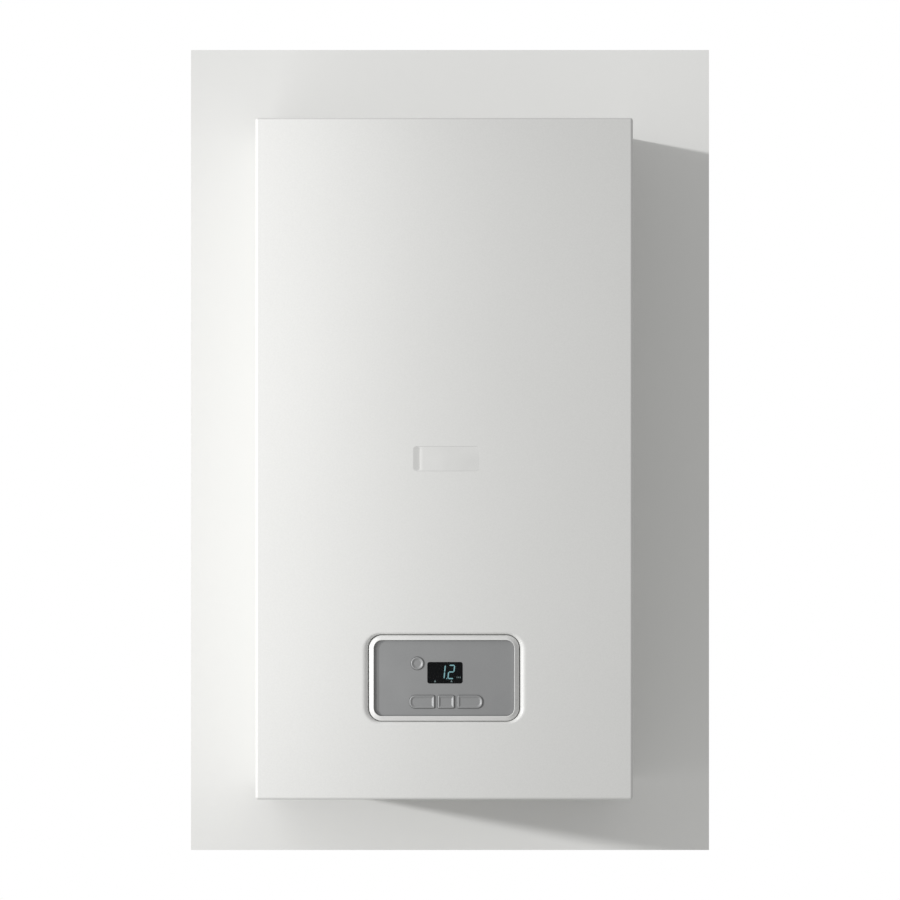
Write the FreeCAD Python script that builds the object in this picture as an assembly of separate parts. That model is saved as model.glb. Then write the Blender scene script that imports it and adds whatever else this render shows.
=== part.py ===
import FreeCAD, Part
import math
import os

# Wall-hung gas boiler, in millimetres, with +Z up, the front towards -Y and the wall at Y = 0.
# Heights are measured from the casing's lower edge. At the end every piece is lowered by the rail's screw
# height, so that the origin lies on the wall, midway between the hanging rail's two screws.

V = FreeCAD.Vector
X = V(1, 0, 0)
Y = V(0, 1, 0)
Z = V(0, 0, 1)
TOUCH = 1e-6
HALF_SHARE = 0.5

# Clearances that serve many pieces
OVERRUN = 6.0
RUNNING_GAP = 0.3
SEAT_GAP = 0.2
BEAD_END_SHARE = 0.48

# Casing of folded sheet
CASE_WIDTH = 410.0
CASE_HEIGHT = 740.0
CASE_DEPTH = 310.0
CASE_SHEET = 1.0
SHEET_BEND = 1.5
CASE_SEAM = 2.0
BACK_SPACE = 12.0
BACK_FLANGE = 14.0
SIDE_REAR_FLANGE = 14.0
SIDE_FRONT_FLANGE = 18.0
TOP_FLANGE = 14.0
TOP_FLANGE_INSET = 40.0
BACK_BEAD_SHARES = (0.2, 0.54, 0.8)
BACK_BEAD_LENGTH_SHARE = 0.73
BACK_BEAD_TALL = 22.0
BACK_BEAD_DEPTH = 4.0

# Wall rail and spacers
RAIL_DROP = 50.0
RAIL_WIDTH_SHARE = 0.8
RAIL_HEIGHT = 44.0
RAIL_SHEET = 2.5
RAIL_BEND = 3.0
RAIL_SCREW_SHARE = 0.68
RAIL_SCREW_RADIUS = 5.0
HOOK_SPACING = 200.0
HOOK_WIDTH = 42.0
HOOK_REACH = 6.0
HOOK_LIP = 7.0
HOOK_SLACK = 2.0
SPACER_SHARE = 0.7
SPACER_HEIGHT = 90.0
SPACER_RADIUS = 14.0
SPACER_BORE = 3.0

# Front cover
COVER_RETURN = 34.0
COVER_EDGE_RADIUS = 3.0
COVER_HEM = 10.0
GASKET_INSET = 3.0
GASKET_WIDTH = 7.0
COVER_SCREW_SPACING = 300.0
COVER_SCREW_SETBACK = 16.0
COVER_SCREW_RADIUS = 2.4
COVER_SCREW_LENGTH = 10.0
COVER_SCREW_HEAD_RADIUS = 6.0
COVER_SCREW_HEAD = 3.6
DIMPLE_DEPTH = 5.0
DIMPLE_RADIUS = 9.0
SCREW_HOLE_GAP = 0.4
SHELF_SPACE = 6.0

# Badge recess and plate
BADGE_HEIGHT = 370.0
BADGE_OFFSET = 2.4
BADGE_RECESS_WIDTH = 72.0
BADGE_RECESS_TALL = 27.0
BADGE_WIDTH = 66.0
BADGE_TALL = 24.0
BADGE_CORNER = 4.0
BADGE_DEPTH = 1.6
BADGE_PROUD = 0.5
BADGE_EDGE = 0.6
BADGE_WALL = 1.2

# Sunk opening for the control panel, with the panel's middle above the casing's lower edge
PANEL_HEIGHT = 131.8
RECESS_WIDTH = 178.5
RECESS_TALL = 100.0
RECESS_CORNER = 20.0
RECESS_DEPTH = 6.5
RECESS_WALL = 1.4
ROLL_STEPS = 8
PANEL_GAP = 0.5

# Panel bezel and fascia
BEZEL_WIDTH = 163.0
BEZEL_TALL = 93.0
BEZEL_CORNER = 14.0
BEZEL_SETBACK = 0.5
BEZEL_RING = 4.5
BEZEL_RING_RADIUS = 4.0
BEZEL_INNER_RADIUS = 0.5
BEZEL_WALL = 3.5
FASCIA_WIDTH = 152.4
FASCIA_TALL = 82.4
FASCIA_CORNER = 9.0
FASCIA_RIM = 0.6
FASCIA_RISE = 2.6
FASCIA_SLOPE_WIDTH = 3.4
FASCIA_SLOPE_TALL = 1.4
FASCIA_FLAT_CORNER = 6.0
FASCIA_FACE = 1.5
FASCIA_FLANGE = 2.0
FASCIA_POST_RADIUS = 2.5
FASCIA_POST_INSET = 9.5

# Buttons and display, placed from the panel's middle
BUTTON_TRAVEL = 1.2
BUTTON_PROUD = 1.2
BUTTON_FLANGE = 1.2
BUTTON_EDGE = 1.1
DISH_RIM = 1.3
DISH_SLOPE = 2.0
DISH_DEPTH = 0.9
RESET_SPACE = 3.65
RESET_Z = 15.9
RESET_RADIUS = 7.1
BAR_X = 2.2
BAR_Z = -25.8
BAR_TALL = 14.4
BAR_WIDTH = 79.8
BAR_MIDDLE_WIDTH = 18.2
BAR_WEB = 3.2
BAR_INNER_RADIUS = 1.6
BAR_LEAST_RADIUS = 0.5
BAR_END_RADIUS = 6.4
WINDOW_X = 1.0
WINDOW_Z = 5.7
WINDOW_WIDTH = 38.5
WINDOW_TALL = 23.4
WINDOW_CORNER = 2.5
WINDOW_THICK = 1.8
WINDOW_SETBACK = 0.2
DISPLAY_GAP = 0.6

# Control box
HOUSING_WIDTH = 300.0
HOUSING_TALL = 150.0
HOUSING_DEPTH_SHARE = 0.177
HOUSING_SETBACK = 13.0
HOUSING_WALL = 2.5
HOUSING_CORNER = 6.0
HOUSING_VENTS = 14
HOUSING_VENT_PITCH = 14.0
HOUSING_VENT_WIDTH = 4.0
HOUSING_VENT_LENGTH = 30.0
BOARD_THICK = 1.6
BOARD_MARGIN = 5.0
SWITCH_BODY = 6.0
SWITCH_TALL = 3.5
SWITCH_PLUNGER = 1.7
MAIN_BOARD_WIDTH = 268.0
MAIN_BOARD_TALL = 122.0
BOARD_STANDOFF = 10.0
BOARD_POST_RADIUS = 4.0
BOARD_POST_INSET = 9.0
TRANSFORMER_SIZE = 38.0
TRANSFORMER_TALL = 30.0
RELAY_COUNT = 4
RELAY_PITCH = 24.0
RELAY_WIDTH = 16.0
RELAY_DEPTH = 20.0
RELAY_TALL = 17.0
CAPACITOR_COUNT = 3
CAPACITOR_PITCH = 20.0
CAPACITOR_RADIUS = 6.5
CAPACITOR_TALL = 24.0
CONNECTOR_COUNT = 6
CONNECTOR_PITCH = 42.0
CONNECTOR_WIDTH = 34.0
CONNECTOR_DEPTH = 10.0
CONNECTOR_TALL = 12.0
CABLE_ENTRY_COUNT = 3
CABLE_ENTRY_RADIUS = 9.0
CABLE_ENTRY_SPACING = 46.0
TRUNNION_RADIUS = 5.0
TRUNNION_INSET = 13.0
TRUNNION_LENGTH = 8.0
BRACKET_SHEET = 2.0
BRACKET_GAP = 1.5
BRACKET_TALL = 44.0
BRACKET_DEPTH = 30.0
BRACKET_FOOT = 16.0

# Pipe connections under the boiler
CONNECTION_HEIGHT = 48.0
CONNECTION_PITCH_SHARE = 0.17
CONNECTION_DISTANCE_SHARE = 0.361
CONNECTION_END = 6.0
CONNECTION_COLLAR = 16.0
LARGE_THREAD_RADIUS = 13.22
SMALL_THREAD_RADIUS = 10.48
PIPE_WALL = 3.0
HEX_MARGIN = 2.0
NECK_STEP = 1.5
PLATE_SHEET = 1.5
PLATE_REACH_SHARE = 0.49
PLATE_FLANGE = 14.0

# Water blocks
BARREL_RADIUS = 19.0
BARREL_HEIGHT = 82.0
BARREL_BORE = 12.0
BARREL_EDGE = 2.0
CROSS_RISE = 52.0
CROSS_SHARE = 1.5
CROSS_RADIUS = 16.0
BOSS_RADIUS = 9.5
BOSS_TALL = 8.0
PUMP_PAD_RADIUS = 22.0
PUMP_PAD_SHARE = 0.11
DIVERTER_PAD_RADIUS = 14.0
DIVERTER_PAD_REACH = 28.0
SAFETY_PAD_RADIUS = 13.5
SAFETY_PAD_REACH = 23.0
SAFETY_RISE = 30.0

# Plate heat exchanger
PLATES_WIDTH = 184.0
PLATES_TALL = 76.0
PLATES_DEPTH_SHARE = 0.148
PLATES_AHEAD_SHARE = 0.116
PLATES_CORNER = 14.0
PLATES_COUNT = 14
PLATES_RIM = 2.2
PLATES_RIM_SHARE = 0.55
PORT_RADIUS = 10.0
PORT_SPREAD = 38.0

# Pump, air vent, diverter, safety valve and filling tap
VOLUTE_RADIUS = 46.0
VOLUTE_DEPTH_SHARE = 0.116
VOLUTE_EDGE = 8.0
MOTOR_RADIUS = 41.0
MOTOR_SPACE = 10.0
MOTOR_EDGE = 4.0
MOTOR_CAP_RADIUS = 12.0
MOTOR_CAP = 3.0
MOTOR_RIBS = 24
MOTOR_RIB = 1.6
MOTOR_RIB_WIDTH = 2.4
TERMINAL_WIDTH = 48.0
TERMINAL_TALL = 22.0
TERMINAL_DEPTH_SHARE = 0.75
VENT_RADIUS = 15.0
VENT_TALL = 40.0
VENT_CAP_RADIUS = 7.0
VENT_CAP = 8.0
DIVERTER_SPACE = 2.0
DIVERTER_TALL = 58.0
DIVERTER_DEPTH = 48.0
DIVERTER_CORNER = 6.0
SAFETY_RADIUS = 11.0
SAFETY_DEPTH = 24.0
SPINDLE_RADIUS = 3.0
SPINDLE_LENGTH = 12.0
KNOB_RADIUS = 13.0
KNOB_TALL = 15.0
KNOB_FLUTES = 8
KNOB_FLUTE_RADIUS = 3.0
TAP_RADIUS = 8.0
TAP_END = 27.0

# Copper pipes
WATER_PIPE_RADIUS = 9.0
COPPER_WALL = 1.0
WATER_BEND = 17.0
PIPE_LEVEL = 200.0
GAS_PIPE_RADIUS = 7.5
GAS_BEND = 14.0
GAS_INLET_RADIUS = 9.0
VESSEL_PIPE_RADIUS = 5.0
VESSEL_BEND = 14.0
VESSEL_PIPE_LEVEL = 190.0
NUT_WALL = 4.5
NUT_LENGTH = 12.0

# Gas valve
VALVE_HEIGHT_SHARE = 0.205
VALVE_WIDTH = 56.0
VALVE_DEPTH_SHARE = 0.22
VALVE_TALL_SHARE = 0.07
VALVE_CORNER = 7.0
VALVE_PLUG_WIDTH = 24.0
VALVE_PLUG_TALL = 26.0
VALVE_PLUG_REACH = 13.0
VALVE_PLUG_CORNER = 3.0
VALVE_BOSS_RADIUS = 15.0
VALVE_BOSS = 7.0
VALVE_OUTLET_AHEAD = 16.0
COIL_RADIUS = 12.0
COIL_DEPTH = 34.0
COIL_SPREAD = 27.0
COIL_COLLAR_RADIUS = 8.0
COIL_COLLAR = 4.0

# Fan, flue spigot and flange
FAN_DROP_SHARE = 0.135
FLUE_DISTANCE_SHARE = 0.626
FAN_SHEET = 1.2
SCROLL_DEPTH = 56.0
SCROLL_RADIUS = 50.0
SCROLL_GROWTH = 5.0
OUTLET_WIDTH = 56.0
OUTLET_RISE = 66.0
FAN_INLET_RADIUS = 30.0
SHAFT_RADIUS = 4.0
SHAFT_GAP = 0.3
SHAFT_SPACE = 4.0
IMPELLER_GAP = 8.0
IMPELLER_EYE = 27.0
IMPELLER_SHEET = 1.4
IMPELLER_SIDE_SPACE = 7.0
IMPELLER_BLADES = 24
IMPELLER_TILT = 32.0
IMPELLER_HUB = 9.0
STACK_SIZE = 58.0
STACK_DEPTH = 24.0
STACK_CORNER = 8.0
STACK_STANDOFF = 9.0
STACK_POST_RADIUS = 3.0
STACK_POST_INSET = 7.0
STACK_CAP_RADIUS = 14.0
STACK_CAP = 9.0
FAN_COIL_WIDTH = 36.0
FAN_COIL_TALL = 20.0
FAN_COIL_MARGIN = 6.0
SPIGOT_RADIUS = 30.0
SPIGOT_RISE = 4.5
SPIGOT_LOFT = 18.0
SPIGOT_RIM = 4.0
OUTLET_CORNER = 3.0
SPIGOT_SIDE_ANGLE = 20.0
FLUE_HOLE_RADIUS = 51.0
FLUE_FLANGE_RADIUS = 68.0
FLUE_FLANGE = 2.8
FLUE_FLANGE_EDGE = 0.8
FLUE_SCREW_CIRCLE = 59.5
FLUE_SCREW_COUNT = 4
FLUE_SCREW_RADIUS = 2.2

# Flue hood, heat exchanger and combustion chamber, stacked down from the fan
HOOD_CLEARANCE = 13.0
HOOD_SLOPE_SHARE = 0.054
HOOD_NECK_WIDTH = 142.0
HOOD_NECK_DEPTH = 56.0
HOOD_CORNER = 4.0
HOOD_NECK_ABOVE = 46.0
CHAMBER_WIDTH_SHARE = 0.64
CHAMBER_DEPTH_SHARE = 0.45
CHAMBER_TALL_SHARE = 0.19
CHAMBER_SHEET = 1.2
CHAMBER_BEND = 2.0
VESSEL_AIR = 6.0
FOOT_WIDTH = 70.0
FOOT_TALL = 14.0
INSULATION = 12.0
INSULATION_SLACK = 2.0
CHAMBER_BEAD_SHARES = (0.7, 0.86)
CHAMBER_BEAD_LENGTH_SHARE = 0.8
CHAMBER_BEAD_TALL = 12.0
CHAMBER_BEAD_DEPTH = 3.0
EXCHANGER_TALL_SHARE = 0.095
EXCHANGER_END = 2.0
EXCHANGER_TUBES = 5
TUBE_RADIUS = 9.0
TUBE_REACH = 10.0
FIN_COUNT = 38
FIN_SHARE = 0.14
SIGHT_X = 62.0
SIGHT_RISE_SHARE = 0.44
SIGHT_RADIUS = 10.0
SIGHT_RIM = 3.0
SIGHT_THICK = 3.0
ELECTRODE_X = (-34.0, -16.0, 30.0)
ELECTRODE_RISE = 15.0
CERAMIC_RADIUS = 4.0
CERAMIC_AHEAD = 26.0
CERAMIC_BEHIND = 22.0
TIP_RADIUS = 1.2
TIP_LENGTH = 18.0

# Burner
BURNER_TALL_SHARE = 0.062
BURNER_INSET = 9.0
BURNER_SHEET = 1.2
BLADE_COUNT = 11
BLADE_SHARE = 0.5
BLADE_DROP = 6.0
BLADE_CORNER = 4.0
BLADE_SLOTS = 9
BLADE_SLOT_SHARE = 0.4
BLADE_SLOT_DEPTH = 4.0
BLADE_SLOT_WIDTH = 5.5
MOUTH_RADIUS = 5.4
MOUTH_BORE = 4.4
MOUTH_DEPTH = 24.0
MOUTH_RISE = 15.0
MOUTH_REACH = 4.0
MANIFOLD_SIZE = 16.0
MANIFOLD_CORNER = 2.0
MANIFOLD_SPACE = 10.0
MANIFOLD_OVERHANG = 12.0
MANIFOLD_TAB = 5.0
MANIFOLD_TAB_TALL = 12.0
INJECTOR_RADIUS = 3.4
INJECTOR_REACH = 4.0
MANIFOLD_BOSS_RADIUS = 10.0
MANIFOLD_BOSS = 6.0

# Expansion vessel
VESSEL_WIDTH = 300.0
VESSEL_TALL_SHARE = 0.43
VESSEL_DEPTH = 56.0
VESSEL_DROP_SHARE = 0.125
VESSEL_CORNER = 70.0
VESSEL_EDGE = 11.0
VESSEL_SHEET = 1.3
VESSEL_RIM = 7.0
DIAPHRAGM = 1.6
NIPPLE_RADIUS = 5.5
NIPPLE_LENGTH = 10.0

# Air pressure switch and its tubes
AIR_SWITCH_ASIDE_SHARE = 0.288
AIR_SWITCH_RISE = 12.0
AIR_SWITCH_RADIUS = 29.0
AIR_SWITCH_RIM_RADIUS = 33.0
AIR_SWITCH_RIM = 5.0
AIR_SWITCH_DEPTH = 30.0
AIR_SWITCH_BRACKET_WIDTH = 34.0
AIR_SWITCH_BRACKET_SHEET = 1.2
TAP_NIPPLE_RADIUS = 2.4
TAP_NIPPLE_LENGTH = 12.0
TUBE_NIPPLE_RISES = (24.0, 46.0)
TUBE_NIPPLE_DROPS = (10.0, -10.0)
SILICONE_RADIUS = 4.0
SILICONE_BEND = 9.0
SILICONE_STAGGER = 16.0
SILICONE_GAP = 0.1

# Sizes that follow the casing's width
RAIL_WIDTH = CASE_WIDTH * RAIL_WIDTH_SHARE
RAIL_SCREW_SPACING = CASE_WIDTH * RAIL_SCREW_SHARE
SPACER_SPACING = CASE_WIDTH * SPACER_SHARE
CHAMBER_WIDTH = CASE_WIDTH * CHAMBER_WIDTH_SHARE
CONNECTION_PITCH = CASE_WIDTH * CONNECTION_PITCH_SHARE
AIR_SWITCH_X = -CASE_WIDTH * AIR_SWITCH_ASIDE_SHARE
BACK_BEAD_LENGTH = CASE_WIDTH * BACK_BEAD_LENGTH_SHARE
CHAMBER_BEAD_LENGTH = CHAMBER_WIDTH * CHAMBER_BEAD_LENGTH_SHARE
DIVERTER_WIDTH = CONNECTION_PITCH - 2 * (KNOB_RADIUS + DIVERTER_SPACE)

# Sizes that follow the casing's depth
CONNECTION_Y = -CASE_DEPTH * CONNECTION_DISTANCE_SHARE
PUMP_PAD_REACH = CASE_DEPTH * PUMP_PAD_SHARE
VOLUTE_DEPTH = CASE_DEPTH * VOLUTE_DEPTH_SHARE
HOUSING_DEPTH = CASE_DEPTH * HOUSING_DEPTH_SHARE
PLATES_DEPTH = CASE_DEPTH * PLATES_DEPTH_SHARE
PLATES_AHEAD = CASE_DEPTH * PLATES_AHEAD_SHARE
PLATE_REACH = CASE_DEPTH * PLATE_REACH_SHARE
FLUE_DISTANCE = CASE_DEPTH * FLUE_DISTANCE_SHARE
CHAMBER_DEPTH = CASE_DEPTH * CHAMBER_DEPTH_SHARE
VALVE_DEPTH = CASE_DEPTH * VALVE_DEPTH_SHARE
TUBE_PITCH = CHAMBER_DEPTH / EXCHANGER_TUBES

# Sizes that follow the casing's height
CHAMBER_TALL = CASE_HEIGHT * CHAMBER_TALL_SHARE
EXCHANGER_TALL = CASE_HEIGHT * EXCHANGER_TALL_SHARE
HOOD_SLOPE = CASE_HEIGHT * HOOD_SLOPE_SHARE
FAN_DROP = CASE_HEIGHT * FAN_DROP_SHARE
BURNER_TALL = CASE_HEIGHT * BURNER_TALL_SHARE
BLADE_TALL = BURNER_TALL - BLADE_DROP
VALVE_HEIGHT = CASE_HEIGHT * VALVE_HEIGHT_SHARE
VALVE_TALL = CASE_HEIGHT * VALVE_TALL_SHARE
VESSEL_TALL = CASE_HEIGHT * VESSEL_TALL_SHARE
VESSEL_DROP = CASE_HEIGHT * VESSEL_DROP_SHARE
SIGHT_RISE = CHAMBER_TALL * SIGHT_RISE_SHARE

# Planes and levels that follow from the values above
CASE_HALF = CASE_WIDTH / 2
INNER_HALF = CASE_HALF - CASE_SHEET
CASE_FRONT = -CASE_DEPTH
COVER_REAR = CASE_FRONT + COVER_RETURN
SIDE_FRONT = COVER_REAR + CASE_SEAM
SIDE_TOP = CASE_HEIGHT - CASE_SHEET
PANEL_REAR = -BACK_SPACE
PANEL_FRONT = PANEL_REAR - CASE_SHEET
RAIL_SCREW_HEIGHT = CASE_HEIGHT - RAIL_DROP
RAIL_TOP = RAIL_SCREW_HEIGHT + RAIL_HEIGHT / 2
SCREW_Y = CASE_FRONT + COVER_SCREW_SETBACK
TAB_BASE = DIMPLE_DEPTH + CASE_SHEET + SEAT_GAP
CROSSBAR_TOP = TAB_BASE + CONNECTION_HEIGHT - PLATE_FLANGE
OPENING_WIDTH = BEZEL_WIDTH + 2 * PANEL_GAP
OPENING_TALL = BEZEL_TALL + 2 * PANEL_GAP
OPENING_CORNER = BEZEL_CORNER + PANEL_GAP
BEZEL_FRONT = CASE_FRONT + BEZEL_SETBACK
FASCIA_LEDGE = BEZEL_FRONT + BEZEL_RING
FASCIA_FRONT = FASCIA_LEDGE - FASCIA_FACE
FASCIA_REAR = FASCIA_LEDGE + FASCIA_FLANGE
FASCIA_RIM_FRONT = FASCIA_FRONT - FASCIA_RISE
FLANGE_WIDTH = BEZEL_WIDTH - 2 * BEZEL_WALL
FLANGE_TALL = BEZEL_TALL - 2 * BEZEL_WALL
BUTTON_FRONT = FASCIA_FRONT - BUTTON_PROUD
BUTTON_FLANGE_FRONT = FASCIA_REAR + RUNNING_GAP
BUTTON_REAR = BUTTON_FLANGE_FRONT + BUTTON_FLANGE
PLUNGER_TOP = BUTTON_REAR + BUTTON_TRAVEL + SEAT_GAP
SWITCH_TOP = PLUNGER_TOP + SWITCH_PLUNGER * HALF_SHARE
BOARD_FRONT = SWITCH_TOP + SWITCH_TALL
BAR_LEFT = BAR_X - BAR_WIDTH / 2
RESET_X = WINDOW_X - WINDOW_WIDTH / 2 - RESET_SPACE - RESET_RADIUS
MODULE_MARGIN = RESET_SPACE * HALF_SHARE
BAR_SIDE_WIDTH = (BAR_WIDTH - BAR_MIDDLE_WIDTH) / 2 - BAR_WEB
BAR_WIDTHS = (BAR_SIDE_WIDTH, BAR_MIDDLE_WIDTH, BAR_SIDE_WIDTH)
HOUSING_FRONT = CASE_FRONT + HOUSING_SETBACK
HOUSING_REAR = HOUSING_FRONT + HOUSING_DEPTH
HOUSING_BASE = PANEL_HEIGHT - HOUSING_TALL / 2
MAIN_BOARD_REAR = HOUSING_REAR - BOARD_STANDOFF
FAN_Z = CASE_HEIGHT - FAN_DROP
FLUE_Y = -FLUE_DISTANCE
FAN_FRONT = FLUE_Y - SCROLL_DEPTH / 2
FAN_REAR = FLUE_Y + SCROLL_DEPTH / 2
SCROLL_WIDEST = SCROLL_RADIUS + 2 * SCROLL_GROWTH
FAN_X = SCROLL_WIDEST + SCROLL_GROWTH - OUTLET_WIDTH / 2
OUTLET_TOP = FAN_Z + OUTLET_RISE
HOOD_NECK_BASE = FAN_Z - SCROLL_RADIUS - SCROLL_GROWTH - HOOD_CLEARANCE
HOOD_BASE = HOOD_NECK_BASE - HOOD_SLOPE
EXCHANGER_BASE = HOOD_BASE - EXCHANGER_TALL
CHAMBER_BASE = EXCHANGER_BASE - CHAMBER_TALL
CHAMBER_HALF = CHAMBER_WIDTH / 2
CHAMBER_REAR = PANEL_FRONT - VESSEL_DEPTH - VESSEL_AIR
CHAMBER_FRONT = CHAMBER_REAR - CHAMBER_DEPTH
CHAMBER_Y = CHAMBER_REAR - CHAMBER_DEPTH / 2
TUBE_Z = EXCHANGER_BASE + EXCHANGER_TALL / 2
NIPPLE_X = CHAMBER_HALF + TUBE_REACH
PIPE_SIDE = (NIPPLE_X + INNER_HALF) / 2
BURNER_BASE = CHAMBER_BASE - BURNER_TALL
BURNER_FRONT = CHAMBER_FRONT + BURNER_INSET
BURNER_REAR = CHAMBER_REAR - BURNER_INSET
BURNER_HALF = CHAMBER_HALF - BURNER_INSET
BLADE_PITCH = 2 * (BURNER_HALF - BURNER_SHEET) / BLADE_COUNT
BLADE_WIDTH = BLADE_PITCH * BLADE_SHARE
MOUTH_Z = BURNER_BASE + MOUTH_RISE
MANIFOLD_REAR = BURNER_FRONT - MANIFOLD_SPACE
MANIFOLD_Y = MANIFOLD_REAR - MANIFOLD_SIZE / 2
MANIFOLD_HALF = (BLADE_COUNT - 1) * BLADE_PITCH / 2 + MANIFOLD_OVERHANG
MANIFOLD_INLET = MOUTH_Z - MANIFOLD_SIZE / 2 - MANIFOLD_BOSS
BARREL_TOP = CONNECTION_HEIGHT + BARREL_HEIGHT
CROSS_Z = CONNECTION_HEIGHT + CROSS_RISE
CROSS_X = CONNECTION_PITCH * CROSS_SHARE
CROSS_BOSS_TOP = BARREL_TOP
CROSS_BOSS_BASE = CROSS_Z - CROSS_RADIUS - BOSS_TALL
PUMP_REAR = CONNECTION_Y - PUMP_PAD_REACH
VOLUTE_FRONT = PUMP_REAR - VOLUTE_DEPTH
MOTOR_FRONT = HOUSING_REAR + HOUSING_WALL + MOTOR_SPACE + MOTOR_CAP
PLATES_FRONT = CONNECTION_Y + PLATES_AHEAD
PORT_LEVELS = (CROSS_Z - PORT_SPREAD / 2, CROSS_Z + PORT_SPREAD / 2)
SAFETY_Z = CONNECTION_HEIGHT + SAFETY_RISE
SAFETY_REAR = CONNECTION_Y - SAFETY_PAD_REACH
SAFETY_FRONT = SAFETY_REAR - SAFETY_DEPTH
VALVE_TOP = VALVE_HEIGHT + VALVE_TALL
VALVE_OUTLET = VALVE_TOP + VALVE_BOSS
VALVE_INLET = VALVE_HEIGHT - VALVE_BOSS
VALVE_OUTLET_Y = CONNECTION_Y - VALVE_OUTLET_AHEAD
GAS_RUN = (VALVE_OUTLET + MANIFOLD_INLET) / 2
VESSEL_TOP = CASE_HEIGHT - VESSEL_DROP
VESSEL_BASE = VESSEL_TOP - VESSEL_TALL
VESSEL_Z = VESSEL_TOP - VESSEL_TALL / 2
RIM_REAR = PANEL_FRONT - VESSEL_DEPTH / 2 + DIAPHRAGM / 2
RIM_FRONT = RIM_REAR - DIAPHRAGM
VESSEL_FRONT = PANEL_FRONT - VESSEL_DEPTH
NIPPLE_Y = (RIM_FRONT - VESSEL_SHEET + VESSEL_FRONT + VESSEL_EDGE) / 2
NIPPLE_END = VESSEL_BASE - NIPPLE_LENGTH
AIR_SWITCH_Z = FAN_Z + AIR_SWITCH_RISE
AIR_SWITCH_REAR = FLUE_Y + AIR_SWITCH_DEPTH / 2
AIR_SWITCH_FRONT = AIR_SWITCH_REAR - AIR_SWITCH_DEPTH


# Plain shapes

def unit(vector):
    """The direction of a vector."""
    return V(vector).normalize()


def block(x0, x1, y0, y1, z0, z1):
    """A rectangular block between two corners."""
    return Part.makeBox(x1 - x0, y1 - y0, z1 - z0, V(x0, y0, z0))


def rod(radius, start, end):
    """A round bar between two points."""
    return Part.makeCylinder(radius, (end - start).Length, start, end - start)


def ring(outer, inner, start, end):
    """A round tube between two points."""
    return rod(outer, start, end).cut(rod(inner, start, end))


def hexagon(across_flats, start, end):
    """A six-sided bar between two points on a line along X, Y or Z."""
    along = unit(end - start)
    aside = X if abs(along.x) < HALF_SHARE else Y
    across = along.cross(aside)
    reach = across_flats / math.sqrt(3)
    angles = [n * math.pi / 3 for n in range(7)]
    corners = [start + (aside * math.cos(angle) + across * math.sin(angle)) * reach for angle in angles]
    return Part.Face(Part.makePolygon(corners)).extrude(end - start)


def rounded_wire(centre, across, upward, width, height, radius, far_radius=None):
    """A closed rectangle with round corners; far_radius rounds the corners on the other side."""
    far_radius = far_radius or radius
    arcs = []
    for corner, (side, level) in enumerate(((1, 1), (-1, 1), (-1, -1), (1, -1))):
        bend = radius if side > 0 else far_radius
        hub = centre + across * (side * (width / 2 - bend)) + upward * (level * (height / 2 - bend))
        angles = [math.pi / 2 * (corner + share) for share in (0, HALF_SHARE, 1)]
        arcs.append([hub + (across * math.cos(a) + upward * math.sin(a)) * bend for a in angles])
    edges = []
    for points, following in zip(arcs, arcs[1:] + arcs[:1]):
        edges.append(Part.Arc(*points).toShape())
        if (following[0] - points[2]).Length > TOUCH:
            edges.append(Part.LineSegment(points[2], following[0]).toShape())
    return Part.Wire(edges)


def panel_wire(y, x, z, width, height, radius, far_radius=None):
    """A rounded rectangle that stands in the plane at y."""
    return rounded_wire(V(x, y, z), X, Z, width, height, radius, far_radius)


def panel_plate(y0, y1, x, z, width, height, radius, far_radius=None):
    """A rounded plate that stands between the planes y0 and y1."""
    return Part.Face(panel_wire(y0, x, z, width, height, radius, far_radius)).extrude(Y * (y1 - y0))


def level_wire(z, x, y, width, depth, radius):
    """A rounded rectangle that lies at the level z."""
    return rounded_wire(V(x, y, z), X, Y, width, depth, radius)


def circle_wire(z, x, y, radius):
    """A circle at the level z in eight arcs, which pair off with a rounded rectangle's corners and sides."""
    hub = V(x, y, z)
    side = math.radians(SPIGOT_SIDE_ANGLE)
    edges = []
    for corner in range(4):
        turn = math.pi / 2 * corner
        quarter = turn + math.pi / 2
        for first, last in ((turn + side, quarter - side), (quarter - side, quarter + side)):
            angles = (first, (first + last) / 2, last)
            points = [hub + (X * math.cos(angle) + Y * math.sin(angle)) * radius for angle in angles]
            edges.append(Part.Arc(*points).toShape())
    return Part.Wire(edges)


def loft(*wires):
    """A straight-sided solid between closed wires."""
    return Part.makeLoft(list(wires), True, True)


def bent_path(points, bend):
    """Straight runs through the points, joined by tangent arcs of one radius."""
    edges = []
    start = points[0]
    for before, corner, after in zip(points, points[1:], points[2:]):
        inward = unit(before - corner)
        outward = unit(after - corner)
        half_angle = inward.getAngle(outward) / 2
        reach = bend / math.tan(half_angle)
        to_hub = unit(inward + outward)
        middle = corner + to_hub * (bend / math.sin(half_angle) - bend)
        edges.append(Part.LineSegment(start, corner + inward * reach).toShape())
        start = corner + outward * reach
        edges.append(Part.Arc(corner + inward * reach, middle, start).toShape())
    edges.append(Part.LineSegment(start, points[-1]).toShape())
    return Part.Wire(edges)


def bent_rod(points, radius, bend):
    """A round bar along straight runs and tangent bends."""
    profile = Part.Wire(Part.makeCircle(radius, points[0], points[1] - points[0]))
    return bent_path(points, bend).makePipeShell([profile], True, False)


def bent_tube(points, radius, bore, bend):
    """A hollow pipe along straight runs and tangent bends."""
    return bent_rod(points, radius, bend).cut(bent_rod(points, bore, bend))


def union_pipe(points, radius, bend):
    """A copper pipe with a union nut at each end."""
    flats = 2 * (radius + NUT_WALL)
    nuts = []
    for end, inward in ((points[0], points[1]), (points[-1], points[-2])):
        nuts.append(hexagon(flats, end, end + unit(inward - end) * NUT_LENGTH))
    whole = joined_in_turn([bent_rod(points, radius, bend)] + nuts)
    return whole.cut(bent_rod(points, radius - COPPER_WALL, bend))


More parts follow.
